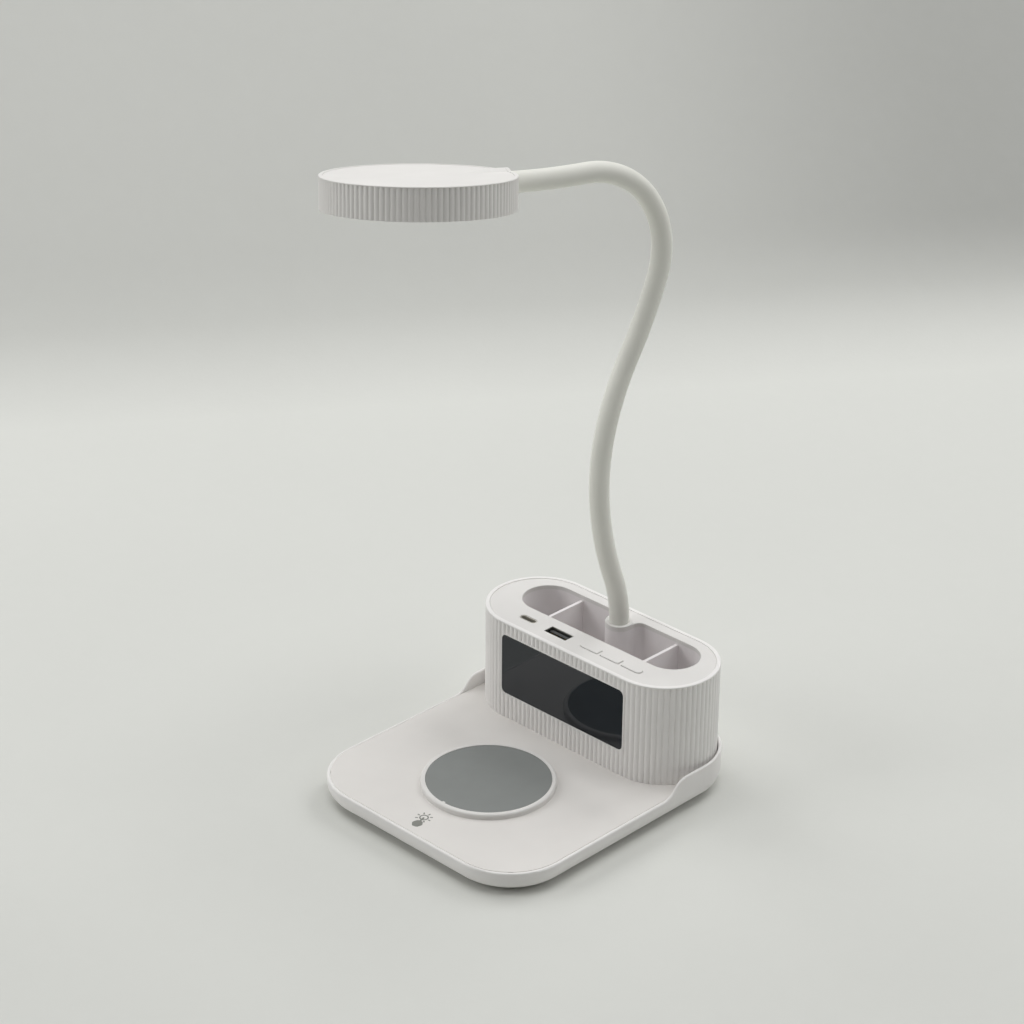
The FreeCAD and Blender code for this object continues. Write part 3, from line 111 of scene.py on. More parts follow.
def add_node(
    tree: Tree,
    kind: str,
    inputs: dict[str | int, object] | None = None,
    settings: dict[str, object] | None = None,
) -> bpy.types.Node:
    """Adds one shader node with its settings, values and links.

    Args:
        tree: the node tree that gets the node.
        kind: the node's type name.
        inputs: socket name or number to a value, or to an output socket to link.
        settings: attribute name to value, set before the inputs.

    Returns:
        The new node.
    """
    node = tree.nodes.new(kind)
    for name, value in (settings or {}).items():
        setattr(node, name, value)
    for name, value in (inputs or {}).items():
        if isinstance(value, Output):
            tree.links.new(value, node.inputs[name])
        else:
            node.inputs[name].default_value = value
    return node


# -------------------------------------------------------------------- finishes
# Noise is at one end of its range below the first of these and at the other above the second.
NOISE_LOW, NOISE_HIGH = 0.3, 0.7
# Weight of each finer layer of noise, and how many layers soft patches and fine grain have.
NOISE_FALLOFF = 0.55
SOFT_DETAIL, FINE_DETAIL = 2.0, 3.0
# Handling changes the roughness by this share, in patches of this size.
HANDLING_SHARE, HANDLING_MM = 0.12, 9.0
# A brush stroke is this many times as long as it is wide.
STROKE = 12.0
# Distance between the rings of a wave texture of scale 1.
WAVE_PITCH = 0.314


class Grain(Enum):
    """Kinds of relief that a mould, tool or coating leaves on a surface."""

    SPARK_ERODED = "spark eroded"
    POLISHED = "polished"
    BRUSHED = "brushed"
    WOUND = "wound"


@dataclass(frozen=True)
class Finish:
    """A material by what it is made of and how its surface was made.

    Attributes:
        name: the material's name.
        colour: its sRGB colour.
        roughness: its mean roughness.
        ior: index of refraction, left alone on metals.
        metallic: 1 for a metal.
        grain: the kind of relief.
        grain_mm: size of the relief.
        relief_mm: height of the relief.
        drift: how far the colour drifts over the piece, from 0 to 1.
        drift_mm: size of the patches it drifts over.
        sheen: soft light at grazing angles, for rubber.
    """

    name: str
    colour: str
    roughness: float
    ior: float = 1.45
    metallic: float = 0.0
    grain: Grain = Grain.SPARK_ERODED
    grain_mm: float = 0.6
    relief_mm: float = 0.01
    drift: float = 0.02
    drift_mm: float = 25.0
    sheen: float = 0.0

    def build(self) -> bpy.types.Material:
        """Makes the material once and returns it on every later call.

        Returns:
            The material.
        """
        known = bpy.data.materials.get(self.name)
        if known:
            return known
        material = bpy.data.materials.new(self.name)
        material.use_nodes = True
        tree = material.node_tree
        tree.nodes.clear()
        where = add_node(tree, "ShaderNodeTexCoord").outputs["Object"]
        shader = add_node(tree, "ShaderNodeBsdfPrincipled", {
            "Base Color": self._colour(tree, where),
            "Roughness": self._roughness(tree, where),
            "Metallic": self.metallic,
            "Normal": self._relief(tree, where),
            "Sheen Weight": self.sheen,
        })
        if not self.metallic:
            shader.inputs["IOR"].default_value = self.ior
        self._extra(tree, where, shader)
        add_node(tree, "ShaderNodeOutputMaterial", {"Surface": shader.outputs["BSDF"]})
        return material

    def _noise(
        self, tree: Tree, where: Output, size_mm: float, detail: float = SOFT_DETAIL
    ) -> Output:
        """Adds noise whose blobs are about size_mm across.

        Args:
            tree: the material's tree.
            where: the coordinates it reads.
            size_mm: the size of its blobs.
            detail: how many finer layers it has.

        Returns:
            The noise's value.
        """
        scale = 1.0 / (size_mm * MM)
        noise = add_node(tree, "ShaderNodeTexNoise", {
            "Vector": where, "Scale": scale, "Detail": detail, "Roughness": NOISE_FALLOFF,
        })
        return noise.outputs["Fac"]

    def _colour(self, tree: Tree, where: Output) -> Output:
        """Adds the colour, which drifts a little lighter and darker in soft patches.

        Args:
            tree: the material's tree.
            where: the coordinates it reads.

        Returns:
            The colour.
        """
        base = srgb(self.colour)
        darker = tuple(channel * (1 - self.drift) for channel in base[:3]) + (1.0,)
        lighter = tuple(min(1.0, channel * (1 + self.drift)) for channel in base[:3]) + (1.0,)
        ramp = add_node(tree, "ShaderNodeValToRGB", {
            "Fac": self._noise(tree, where, self.drift_mm),
        })
        low, high = ramp.color_ramp.elements
        low.position, low.color = NOISE_LOW, darker
        high.position, high.color = NOISE_HIGH, lighter
        return ramp.outputs["Color"]

    def _roughness(self, tree: Tree, where: Output) -> Output:
        """Adds the roughness, uneven as handling leaves it.

        Args:
            tree: the material's tree.
            where: the coordinates it reads.

        Returns:
            The roughness.
        """
        spread = HANDLING_SHARE * self.roughness
        uneven = add_node(tree, "ShaderNodeMapRange", {
            "Value": self._noise(tree, where, HANDLING_MM, FINE_DETAIL),
            "From Min": NOISE_LOW,
            "From Max": NOISE_HIGH,
            "To Min": self.roughness - spread,
            "To Max": self.roughness + spread,
        })
        return uneven.outputs["Result"]

    def _relief(self, tree: Tree, where: Output) -> Output:
        """Adds the relief of the mould, brush or winding.

        Args:
            tree: the material's tree.
            where: the coordinates it reads.

        Returns:
            The bumped normal.
        """
        if self.grain is Grain.BRUSHED:
            streaks = add_node(tree, "ShaderNodeMapping", {
                "Vector": where, "Scale": (1.0, STROKE, STROKE),
            })
            stroke_mm = self.grain_mm * STROKE
            height = self._noise(tree, streaks.outputs["Vector"], stroke_mm, FINE_DETAIL)
        elif self.grain is Grain.WOUND:
            turns = add_node(tree, "ShaderNodeTexWave", {
                "Vector": where,
                "Scale": WAVE_PITCH / (self.grain_mm * MM),
                "Distortion": 0.0,
            }, {"wave_type": "RINGS", "rings_direction": "Z"})
            height = turns.outputs["Fac"]
        else:
            height = self._noise(tree, where, self.grain_mm, FINE_DETAIL)
        bump = add_node(tree, "ShaderNodeBump", {
            "Height": height, "Distance": self.relief_mm * MM, "Strength": 1.0,
        })
        return bump.outputs["Normal"]

    def _extra(self, tree: Tree, where: Output, shader: bpy.types.Node) -> None:
        """Leaves the shader as it is; a kind of finish with more to it overrides this.

        Args:
            tree: the material's tree.
            where: the coordinates it reads.
            shader: the principled shader.
        """


@dataclass(frozen=True)
class DustyFinish(Finish):
    """A soft-touch coating that holds a few pale specks of dust.

    Attributes:
        speck_mm: distance between specks.
        speck_colour: sRGB colour of the dust.
        core: radius over which a speck is thickest, as a share of that distance.
        rim: radius at which it ends, as a share of that distance.
        cover: how much of the coating a speck's core hides.
    """

    speck_mm: float = 2.4
    speck_colour: str = "#9A9C99"
    core: float = 0.03
    rim: float = 0.07
    cover: float = 0.5

    def _extra(self, tree: Tree, where: Output, shader: bpy.types.Node) -> None:
        """Adds the specks over the colour.

        Args:
            tree: the material's tree.
            where: the coordinates it reads.
            shader: the principled shader.
        """
        cells = add_node(tree, "ShaderNodeTexVoronoi", {
            "Vector": where, "Scale": 1.0 / (self.speck_mm * MM), "Randomness": 1.0,
        })
        speck = add_node(tree, "ShaderNodeMapRange", {
            "Value": cells.outputs["Distance"],
            "From Min": self.core,
            "From Max": self.rim,
            "To Min": self.cover,
            "To Max": 0.0,
        })
        under = shader.inputs["Base Color"].links[0].from_socket
        mix = add_node(tree, "ShaderNodeMix", {
            0: speck.outputs["Result"], 6: under, 7: srgb(self.speck_colour),
        }, {"data_type": "RGBA"})
        tree.links.new(mix.outputs[2], shader.inputs["Base Color"])


# ABS moulded in a spark-eroded tool: white, evenly matt, with a grain that only shows
# close up. The real grain is about 0.1 mm; it is drawn coarser so that it shows.
WHITE_ABS = Finish("white_moulded_abs", "#E7E5E2", 0.62, 1.54, grain_mm=0.7, relief_mm=0.012)
# The big shells take a brighter copy of the white ABS, in the same tool finish: painted light that
# lifts their sides and rims, which the lamps leave darker.
LIT_SHELL_ABS = Finish("bright_moulded_abs", "#F4F2F0", 0.58, 1.54, grain_mm=0.7, relief_mm=0.012)
# The cover is moulded from another batch, a little warmer.
WARM_ABS = Finish("warm_white_moulded_abs", "#E6E3DF", 0.52, 1.54, grain_mm=0.7, relief_mm=0.016)
# The tray's deep walls are less finely grained; their lighter, pinker colour is painted light, a lit
# copy of the white ABS that lifts and tints the shade deep in the compartments.
LIT_TRAY_ABS = Finish("tray_moulded_abs", "#F1EDED", 0.55, 1.54, grain_mm=0.8, relief_mm=0.012)
# Silicone rubber skin of the neck: softer, greyer and without gloss.
SILICONE_SKIN = Finish(
    "white_silicone_skin", "#EDEDE5", 0.62, 1.41, grain_mm=0.9, relief_mm=0.008, sheen=0.15
)
# Rubber-coated disc of the charger: grey, dull, with a few specks of dust.
SOFT_TOUCH = DustyFinish(
    "grey_soft_touch_coating", "#868987", 0.58, 1.5, grain_mm=0.5, relief_mm=0.01, drift=0.03
)
# Smoked acrylic: nearly black, polished, so it mirrors what stands before it.
SMOKED_ACRYLIC = Finish(
    "smoked_acrylic", "#0A141D", 0.04, 1.49, grain=Grain.POLISHED, grain_mm=14.0, relief_mm=0.002,
    drift=0.1,
)
# Opal polycarbonate: milky and satin.
OPAL = Finish("opal_polycarbonate", "#EDEDE8", 0.38, 1.58, grain_mm=1.2, relief_mm=0.01)
NICKEL = Finish(
    "nickel_plated_shell", "#B8B7B2", 0.28, metallic=1.0, grain=Grain.BRUSHED, grain_mm=0.3,
    relief_mm=0.004,
)
# Deep-drawn stainless steel, satin all over, so that light falls down its walls.
STAINLESS = Finish(
    "satin_stainless_steel", "#D6D3CC", 0.55, metallic=1.0, grain=Grain.BRUSHED, grain_mm=0.3,
    relief_mm=0.006,
)
ZINC = Finish(
    "zinc_plated_steel", "#A9ABAD", 0.38, metallic=1.0, grain=Grain.BRUSHED, grain_mm=0.4,
    relief_mm=0.006,
)
GOLD = Finish(
    "gold_flashed_contact", "#D9B45B", 0.25, metallic=1.0, grain=Grain.BRUSHED, grain_mm=0.2,
    relief_mm=0.002,
)
BLACK_NYLON = Finish("black_glass_filled_nylon", "#26272A", 0.45, 1.53, grain_mm=0.5)
GREY_TPR = Finish("grey_moulded_rubber", "#8B8C8A", 0.7, 1.5, grain_mm=0.6, relief_mm=0.02, sheen=0.1)
SOLDER_MASK = Finish("green_solder_mask", "#1E5A38", 0.3, 1.5, grain_mm=1.5, relief_mm=0.02, drift=0.15)
COPPER_WIRE = Finish(
    "enamelled_copper_wire", "#B5673A", 0.32, metallic=1.0, grain=Grain.WOUND, grain_mm=0.8,
    relief_mm=0.25,
)
FERRITE = Finish("sintered_ferrite", "#2A2A2C", 0.6, 2.0, grain_mm=0.4)
BRASS = Finish(
    "turned_brass", "#C8A45A", 0.3, metallic=1.0, grain=Grain.BRUSHED, grain_mm=0.3, relief_mm=0.004
)
WHITE_ALUMINIUM = Finish("white_coated_aluminium", "#DDDEDC", 0.35, 1.5, grain_mm=0.9)
PHOSPHOR = Finish("phosphor_resin", "#D9C24E", 0.35, 1.5, grain_mm=0.6)
# Silicone sealant run into a seam: white, smooth and a little shiny.
SEALANT = Finish("white_silicone_sealant", "#EFEDEA", 0.4, 1.41, grain_mm=1.4, relief_mm=0.006)
# Pad-printed ink: a thin grey film, slightly glossier than the plastic under it.
GREY_INK = Finish("grey_pad_printed_ink", "#868781", 0.4, 1.5, grain_mm=0.3, relief_mm=0.003)


@dataclass(frozen=True)
class SweepPaper(Finish):
    """Matt paper with shade painted on its raised end, most of all on the right.

    Attributes:
        side: direction along the sweep, to the camera's right.
        lift: height over which the painted shade comes in.
        shade: brightness that the painted shade leaves on the raised end.
        edge: how far to the right its right end begins to darken.
        reach: how far to the right it is darkest.
        edge_shade: brightness there.
    """

    side: tuple[float, float, float] = (1.0, 0.0, 0.0)
    lift: float = 0.06
    shade: float = 0.86
    edge: float = 0.1
    reach: float = 0.4
    edge_shade: float = 0.72

    def _extra(self, tree: Tree, where: Output, shader: bpy.types.Node) -> None:
        """Paints shade on the raised end, darker still towards the right.

        Args:
            tree: the material's tree.
            where: the coordinates it reads.
            shader: the principled shader.
        """
        along = add_node(
            tree, "ShaderNodeVectorMath", {0: where, 1: self.side}, {"operation": "DOT_PRODUCT"}
        )
        height = add_node(tree, "ShaderNodeSeparateXYZ", {0: where})
        far = self._fade(
            tree, along.outputs["Value"], self.edge, self.reach,
            self.shade, self.shade * self.edge_shade,
        )
        raised = self._fade(tree, height.outputs["Z"], 0.0, self.lift, 0.0, 1.0)
        under = shader.inputs["Base Color"].links[0].from_socket
        dark = add_node(
            tree, "ShaderNodeVectorMath", {0: under, "Scale": far}, {"operation": "SCALE"}
        )
        mix = add_node(tree, "ShaderNodeMix", {
            0: raised, 6: under, 7: dark.outputs["Vector"],
        }, {"data_type": "RGBA"})
        tree.links.new(mix.outputs[2], shader.inputs["Base Color"])

    def _fade(
        self, tree: Tree, value: Output, start: float, stop: float, first: float, last: float
    ) -> Output:
        """Adds a smooth change from one number to another.

        Args:
            tree: the material's tree.
            value: what it depends on.
            start: the value at which it begins.
            stop: the value at which it ends.
            first: the number before it.
            last: the number after it.

        Returns:
            The changing number.
        """
        ramp = add_node(tree, "ShaderNodeMapRange", {
            "Value": value, "From Min": start, "From Max": stop, "To Min": first, "To Max": last,
        }, {"interpolation_type": "SMOOTHSTEP"})
        return ramp.outputs["Result"]


def dress(finish: Finish, *nodes: str) -> None:
    """Gives CAD nodes a finish.

    Args:
        finish: the finish.
        nodes: the nodes' names.
    """
    for node in nodes:
        mesh = frame["nodes"][node].data
        mesh.materials.clear()
        mesh.materials.append(finish.build())
        log.info("%s: %s", node, finish.name)


# ------------------------------------------------------------- modelling tools
def centre(node: str) -> Vector:
    """Returns the middle of a CAD node's box."""
    low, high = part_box(node)
    return (low + high) / 2


def main_normal(node: str) -> Vector:
    """Finds the direction that most of a flat CAD node's surface faces.

    Args:
        node: the node's name.

    Returns:
        The unit normal of its widest face, turned to point up.
    """
    areas: dict[tuple[int, int, int], float] = {}
    normals: dict[tuple[int, int, int], Vector] = {}
    for polygon in frame["nodes"][node].data.polygons:
        normal = polygon.normal if polygon.normal.z > 0 else -polygon.normal
        key = tuple(round(part * DIRECTION_STEPS) for part in normal)
        areas[key] = areas.get(key, 0.0) + polygon.area
        normals[key] = normals.get(key, Vector((0, 0, 0))) + normal * polygon.area
    widest = max(areas, key=areas.get)
    return normals[widest].normalized()


def begin(add: Callable[..., object], **settings: object) -> Piece:
    """Adds a primitive by its operator with nothing else selected.

    Args:
        add: the operator, such as bpy.ops.mesh.primitive_plane_add.
        settings: the operator's settings.

    Returns:
        The new object, in edit mode with all of it selected.
    """
    if bpy.context.mode != "OBJECT":
        bpy.ops.object.mode_set(mode="OBJECT")
    bpy.ops.object.select_all(action="DESELECT")
    add(**settings)
    piece = bpy.context.active_object
    bpy.ops.object.mode_set(mode="EDIT")
    bpy.ops.mesh.select_all(action="SELECT")
    return piece


def end(piece: Piece, name: str, finish: Finish, angle: float = 35.0) -> Piece:
    """Leaves edit mode, puts the piece's place into its mesh and dresses it.

    Args:
        piece: the object being edited.
        name: its final name.
        finish: its finish.
        angle: edges sharper than this stay sharp, in degrees.

    Returns:
        The piece.
    """
    bpy.ops.mesh.select_all(action="SELECT")
    bpy.ops.mesh.remove_doubles(threshold=WELD)
    bpy.ops.mesh.normals_make_consistent(inside=False)
    bpy.ops.object.mode_set(mode="OBJECT")
    bpy.ops.object.transform_apply(location=True, rotation=True, scale=True)
    bpy.ops.object.shade_smooth_by_angle(angle=math.radians(angle))
    piece.name = name
    piece.data.name = name
    piece.data.materials.clear()
    piece.data.materials.append(finish.build())
    return piece


def join(pieces: list[Piece], name: str) -> Piece:
    """Joins finished pieces into one.

    Args:
        pieces: the pieces, one or more.
        name: the joined piece's name.

    Returns:
        The joined piece.
    """
    bpy.ops.object.select_all(action="DESELECT")
    for piece in pieces:
        piece.select_set(True)
    bpy.context.view_layer.objects.active = pieces[0]
    if len(pieces) > 1:
        bpy.ops.object.join()
    whole = bpy.context.active_object
    whole.name = name
    whole.data.name = name
    return whole


# ------------------------------------------------------------------- the base
@dataclass
class SeamBead:
    """Bead of white sealant low in the seam round a cover.

    Attributes:
        node: the cover's CAD node.
        name: the bead's name.
        sink: depth of its top under the cover's highest point.
        tall: its height.
        wide: its width.
        band: the cover's outer wall lies within this of the sides of its box.
        lean: a face whose normal's z is under this is upright.
    """

    node: str
    name: str
    sink: float
    wide: float
    tall: float = 0.5 * MM
    band: float = 7.5 * MM
    lean: float = 0.1

    def build(self) -> None:
        """Takes a strip of the cover's outer wall and thickens it outwards."""
        piece = self._wall()
        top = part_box(self.node)[1].z - self.sink
        for level, above in ((top, True), (top - self.tall, False)):
            bpy.ops.mesh.select_all(action="SELECT")
            bpy.ops.mesh.bisect(
                plane_co=(0, 0, level), plane_no=UP, clear_outer=above, clear_inner=not above,
            )
        bpy.ops.mesh.select_all(action="SELECT")
        bpy.ops.mesh.delete_loose()
        bpy.ops.object.mode_set(mode="OBJECT")
        bead = piece.modifiers.new("bead", "SOLIDIFY")
        bead.thickness = self.wide
        bead.offset = 1.0
        bead.use_even_offset = True
        bpy.ops.object.modifier_apply(modifier=bead.name)
        bpy.ops.object.mode_set(mode="EDIT")
        end(piece, self.name, SEALANT)
        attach(piece, "base_unit")
        log.info("%s: %d faces", self.name, len(piece.data.polygons))

    def _wall(self) -> Piece:
        """Copies the cover's outer wall.

        Returns:
            The wall, in edit mode.
        """
        cover = frame["nodes"][self.node]
        bpy.ops.object.select_all(action="DESELECT")
        cover.select_set(True)
        bpy.context.view_layer.objects.active = cover
        bpy.ops.object.duplicate()
        piece = bpy.context.active_object
        piece.parent = None
        del piece["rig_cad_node"]
        bpy.ops.object.mode_set(mode="EDIT")
        bpy.ops.mesh.select_mode(type="FACE")
        bpy.ops.mesh.select_all(action="SELECT")
        bpy.ops.mesh.remove_doubles(threshold=WELD)
        bpy.ops.mesh.select_all(action="DESELECT")
        bpy.ops.object.mode_set(mode="OBJECT")
        low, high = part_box(self.node)
        for polygon in piece.data.polygons:
            spot = polygon.center
            inside = (
                low.x + self.band < spot.x < high.x - self.band
                and low.y + self.band < spot.y < high.y - self.band
            )
            outwards = polygon.normal.dot(spot - (low + high) / 2) > 0
            upright = abs(polygon.normal.z) < self.lean
            polygon.select = inside or not outwards or not upright
        bpy.ops.object.mode_set(mode="EDIT")
        bpy.ops.mesh.delete(type="FACE")
        bpy.ops.mesh.select_mode(type="VERT")
        return piece


BEADS = (
    SeamBead("base_cover", "base_seam_bead", sink=0.25 * MM, wide=0.26 * MM),
    SeamBead("holder_top_plate", "plate_seam_bead", sink=0.75 * MM, wide=0.09 * MM),
)


@dataclass
class BaseUnit:
    """Low base with its feet, screws, ballast and power socket."""

    def build(self) -> None:
        """Dresses the base's nodes."""
        dress(LIT_SHELL_ABS, "base_shell")
        dress(WARM_ABS, "base_cover")
        dress(GREY_TPR, "rubber_feet")
        dress(ZINC, "base_screws", "ballast_plate")
        dress(NICKEL, "power_inlet")
        dress(SOLDER_MASK, "power_board", "touch_sensor_board")


@dataclass
class TouchMark:
    """Printed mark of the touch key: a fingertip that reaches for a small sun.

    Attributes:
        sun: the sun's middle on the cover.
        sun_radius: outside radius of its ring.
        facets: sides of that ring.
        line: width of the printed lines.
        ray: length of a ray.
        ray_corner: rounding of a ray's corners, in lines.
        ray_radius: where the middle of each ray lies.
        rays: number of rays if the hand hid none.
        hand: middle of the hand.
        hand_sides: sides of the hand.
        hand_length: length of the hand across the finger.
        hand_width: width of the hand along the finger.
        finger: width of the finger, in lines.
        finger_corner: rounding of its corners, in lines.
        finger_coats: coats of ink on the finger, which crosses the sun's ring.
        film: thickness of one coat of ink.
        cover: from the sensor board's top to the cover's face.
        level: height of the cover's face.
    """

    sun: Vector = Vector((0.2 * MM, -62.0 * MM, 0))
    sun_radius: float = 2.1 * MM
    facets: int = 40
    line: float = 0.62 * MM
    ray: float = 1.35 * MM
    ray_corner: float = 0.45
    ray_radius: float = 3.2 * MM
    rays: int = 8
    hand: Vector = Vector((1.5 * MM, -67.25 * MM, 0))
    hand_sides: int = 6
    hand_length: float = 5.1 * MM
    hand_width: float = 5.6 * MM
    finger: float = 1.5
    finger_corner: float = 0.6
    finger_coats: float = 1.5
    film: float = 0.04 * MM
    cover: float = 2.0 * MM
    level: float = field(init=False)

    def build(self) -> None:
        """Prints the mark on the base's cover."""
        self.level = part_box("touch_sensor_board")[1].z + self.cover
        parts = [self._ring(), self._hand(), self._finger()]
        step = 2 * math.pi / self.rays
        reach = self.hand - self.sun
        for number in range(self.rays):
            out = Vector((math.cos(number * step), math.sin(number * step), 0))
            if out.angle(reach) > step / 2:
                parts.append(self._ray(out))
        mark = join(parts, "touch_key_mark")
        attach(mark, "base_unit")
        log.info("touch_key_mark: %d faces", len(mark.data.polygons))

    def _thicken(self, coats: float = 1.0) -> None:
        """Gives the selected flat print its film of ink, in one coat or more."""
        bpy.ops.mesh.extrude_region_move(
            TRANSFORM_OT_translate={"value": (0, 0, coats * self.film)}
        )

    def _finish(
        self,
        piece: Piece,
        name: str,
        size: tuple[float, float],
        corner: float,
        segments: int = 4,
        coats: float = 1.0,
    ) -> Piece:
        """Sizes a flat print, rounds its corners and inks it.

        Args:
            piece: the print, in edit mode and of size 1.
            name: its name.
            size: its length and width.
            corner: how much of each corner is rounded off.
            segments: steps of that rounding.
            coats: coats of ink.

        Returns:
            The print.
        """
        bpy.ops.transform.resize(value=(*size, 1), orient_type="LOCAL")
        bpy.ops.mesh.bevel(offset=corner, segments=segments, affect="VERTICES")
        bpy.ops.mesh.select_all(action="SELECT")
        self._thicken(coats)
        return end(piece, name, GREY_INK)

    def _ring(self) -> Piece:
        """Returns the sun's ring."""
        place = self.sun + UP * self.level
        piece = begin(
            bpy.ops.mesh.primitive_circle_add,
            vertices=self.facets, radius=self.sun_radius, fill_type="NGON", location=place,
        )
        bpy.ops.mesh.inset(thickness=self.line, depth=0)
        bpy.ops.mesh.delete(type="FACE")
        bpy.ops.mesh.select_all(action="SELECT")
        self._thicken()
        return end(piece, "sun_ring", GREY_INK)

    def _ray(self, out: Vector) -> Piece:
        """Makes one ray.

        Args:
            out: the ray's direction.

        Returns:
            The ray.
        """
        piece = begin(
            bpy.ops.mesh.primitive_plane_add,
            size=1.0,
            location=self.sun + out * self.ray_radius + UP * self.level,
            rotation=(0, 0, math.atan2(out.y, out.x)),
        )
        corner = self.line * self.ray_corner
        return self._finish(piece, "sun_ray", (self.ray, self.line), corner, segments=3)

    def _hand(self) -> Piece:
        """Returns the hand, a rounded fist square to the finger."""
        reach = self.sun - self.hand
        turn = math.atan2(reach.y, reach.x)
        piece = begin(
            bpy.ops.mesh.primitive_circle_add,
            vertices=self.hand_sides, radius=0.5, fill_type="NGON",
            location=self.hand + UP * self.level, rotation=(0, 0, turn),
        )
        return self._finish(piece, "hand", (self.hand_width, self.hand_length), self.line)

    def _finger(self) -> Piece:
        """Returns the finger, from the hand to the sun's middle."""
        reach = self.sun - self.hand
        turn = math.atan2(reach.y, reach.x)
        piece = begin(
            bpy.ops.mesh.primitive_plane_add,
            size=1.0,
            location=self.hand + reach / 2 + UP * self.level, rotation=(0, 0, turn),
        )
        size = (reach.length, self.line * self.finger)
        corner = self.line * self.finger_corner
        return self._finish(piece, "finger", size, corner, coats=self.finger_coats)


@dataclass
class Charger:
    """Charging disc: white dish, grey pad, coil and ferrite."""

    def build(self) -> None:
        """Dresses the charger's nodes."""
        dress(WHITE_ABS, "charger_ring")
        dress(SOFT_TOUCH, "charger_pad")
        dress(COPPER_WIRE, "charging_coil")
        dress(FERRITE, "ferrite_sheet")


# ------------------------------------------------------------------ the holder
@dataclass
class PenHolder:
    """Ribbed oval holder with its plate, compartments, clock, keys and sockets."""

    def build(self) -> None:
        """Dresses the holder's nodes and finishes its sockets."""
        dress(LIT_SHELL_ABS, "holder_shell")
        dress(WHITE_ABS, "holder_top_plate", "button_1", "button_2", "button_3")
        dress(LIT_TRAY_ABS, "compartment_tray")
        dress(SMOKED_ACRYLIC, "display_lens")
        dress(BLACK_NYLON, "clock_module", "key_switches")
        dress(SOLDER_MASK, "main_board")
        dress(ZINC, "holder_screws", "board_screws")
        dress(BRASS, "neck_ferrule", "neck_nut")
        for socket in SOCKETS:
            socket.build()


@dataclass
class Socket:
    """A metal-shelled socket with its black tongue and gold contacts.

    Attributes:
        node: the CAD node.
        side: from the shell's end to the tongue.
        front: from the shell's front to the tongue.
        rear: from the tongue to the shell's rear.
        sink: from the shell's mouth to the tongue's tip.
        contacts: contacts on one face of the tongue.
        pitch: from contact to contact.
        width: width of a contact.
        length: length of a contact.
        faces: the tongue's faces with contacts, -1 in front and 1 behind.
        shell: finish of the shell.
        floor: depth of the insulating floor inside the shell.
        film: how far a contact stands out of the tongue.
        margin: slack with which the tongue's faces are found.
        low: the tongue's lowest corner.
        high: its highest corner.
    """

    node: str
    side: float
    front: float
    rear: float
    sink: float
    contacts: int
    pitch: float
    width: float
    length: float
    faces: tuple[int, ...]
    shell: Finish = NICKEL
    floor: float = 0.7 * MM
    film: float = 0.05 * MM
    margin: float = 0.02 * MM
    low: Vector = field(init=False)
    high: Vector = field(init=False)

    def build(self) -> None:
        """Dresses the socket and adds its contacts."""
        low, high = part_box(self.node)
        self.low = low + Vector((self.side, self.front, 0))
        self.high = high - Vector((self.side, self.rear, self.sink))
        dress(self.shell, self.node)
        mesh = frame["nodes"][self.node].data
        mesh.materials.append(BLACK_NYLON.build())
        slack = self.margin
        for polygon in mesh.polygons:
            spot = polygon.center
            in_tongue = (
                self.low.x - slack < spot.x < self.high.x + slack
                and self.low.y - slack < spot.y < self.high.y + slack
                and low.z + slack < spot.z < self.high.z + slack
            )
            on_floor = polygon.normal.z > LEVEL and spot.z < low.z + self.floor
            if in_tongue or on_floor:
                polygon.material_index = 1
        self._contacts()

    def _contacts(self) -> None:
        """Models one contact and copies it along the tongue's faces."""
        middle = (self.low + self.high) / 2
        first = middle.x - self.pitch * (self.contacts - 1) / 2
        setback = 4 * self.film
        parts = []
        for face in self.faces:
            y = self.low.y if face < 0 else self.high.y
            place = Vector((first, y, self.high.z - self.length / 2 - setback))
            piece = begin(bpy.ops.mesh.primitive_cube_add, size=1.0, location=place)
            bpy.ops.transform.resize(value=(self.width, 2 * self.film, self.length))
            bpy.ops.mesh.bevel(offset=self.film / 2, segments=2, affect="EDGES")
            parts.append(end(piece, f"{self.node}_contact", GOLD))
        row = join(parts, f"{self.node}_contacts")
        along = row.modifiers.new("row", "ARRAY")
        along.count = self.contacts
        along.use_relative_offset = False
        along.use_constant_offset = True
        along.constant_offset_displace = (self.pitch, 0, 0)
        bpy.ops.object.modifier_apply(modifier=along.name)
        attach(row, "base_unit")


SOCKETS = (
    Socket("usb_a_socket", side=1.0 * MM, front=2.775 * MM, rear=1.125 * MM, sink=1.0 * MM,
           contacts=4, pitch=2.5 * MM, width=1.0 * MM, length=8.0 * MM, faces=(-1,)),
    Socket("usb_c_socket", side=1.1 * MM, front=1.25 * MM, rear=1.25 * MM, sink=0.9 * MM,
           contacts=12, pitch=0.5 * MM, width=0.25 * MM, length=4.0 * MM, faces=(-1, 1),
           shell=STAINLESS),
)


# -------------------------------------------------------------------- the neck
@dataclass
class Arc:
    """One constant bend of the neck.

    Attributes:
        start: where it begins.
        tangent: its direction there.
        stop: where it ends.
        axis: the axis it turns about.
        angle: how far it turns, in radians.
        radius: its radius.
        centre: its centre.
    """

    start: Vector
    tangent: Vector
    stop: Vector
    axis: Vector = field(init=False)
    angle: float = field(init=False)
    radius: float = field(init=False)
    centre: Vector = field(init=False)

    def __post_init__(self) -> None:
        """Works out the arc's axis, angle, radius and centre."""
        chord = self.stop - self.start
        half = self.tangent.angle(chord)
        self.axis = self.tangent.cross(chord).normalized()
        self.angle = 2 * half
        self.radius = chord.length / (2 * math.sin(half))
        self.centre = self.start + self.axis.cross(self.tangent) * self.radius

    def point(self, share: float) -> Vector:
        """Returns the point at a share of the arc's length."""
        turn = Matrix.Rotation(self.angle * share, 3, self.axis)
        return self.centre + turn @ (self.start - self.centre)

    def direction(self, share: float) -> Vector:
        """Returns the tangent at a share of the arc's length."""
        return Matrix.Rotation(self.angle * share, 3, self.axis) @ self.tangent


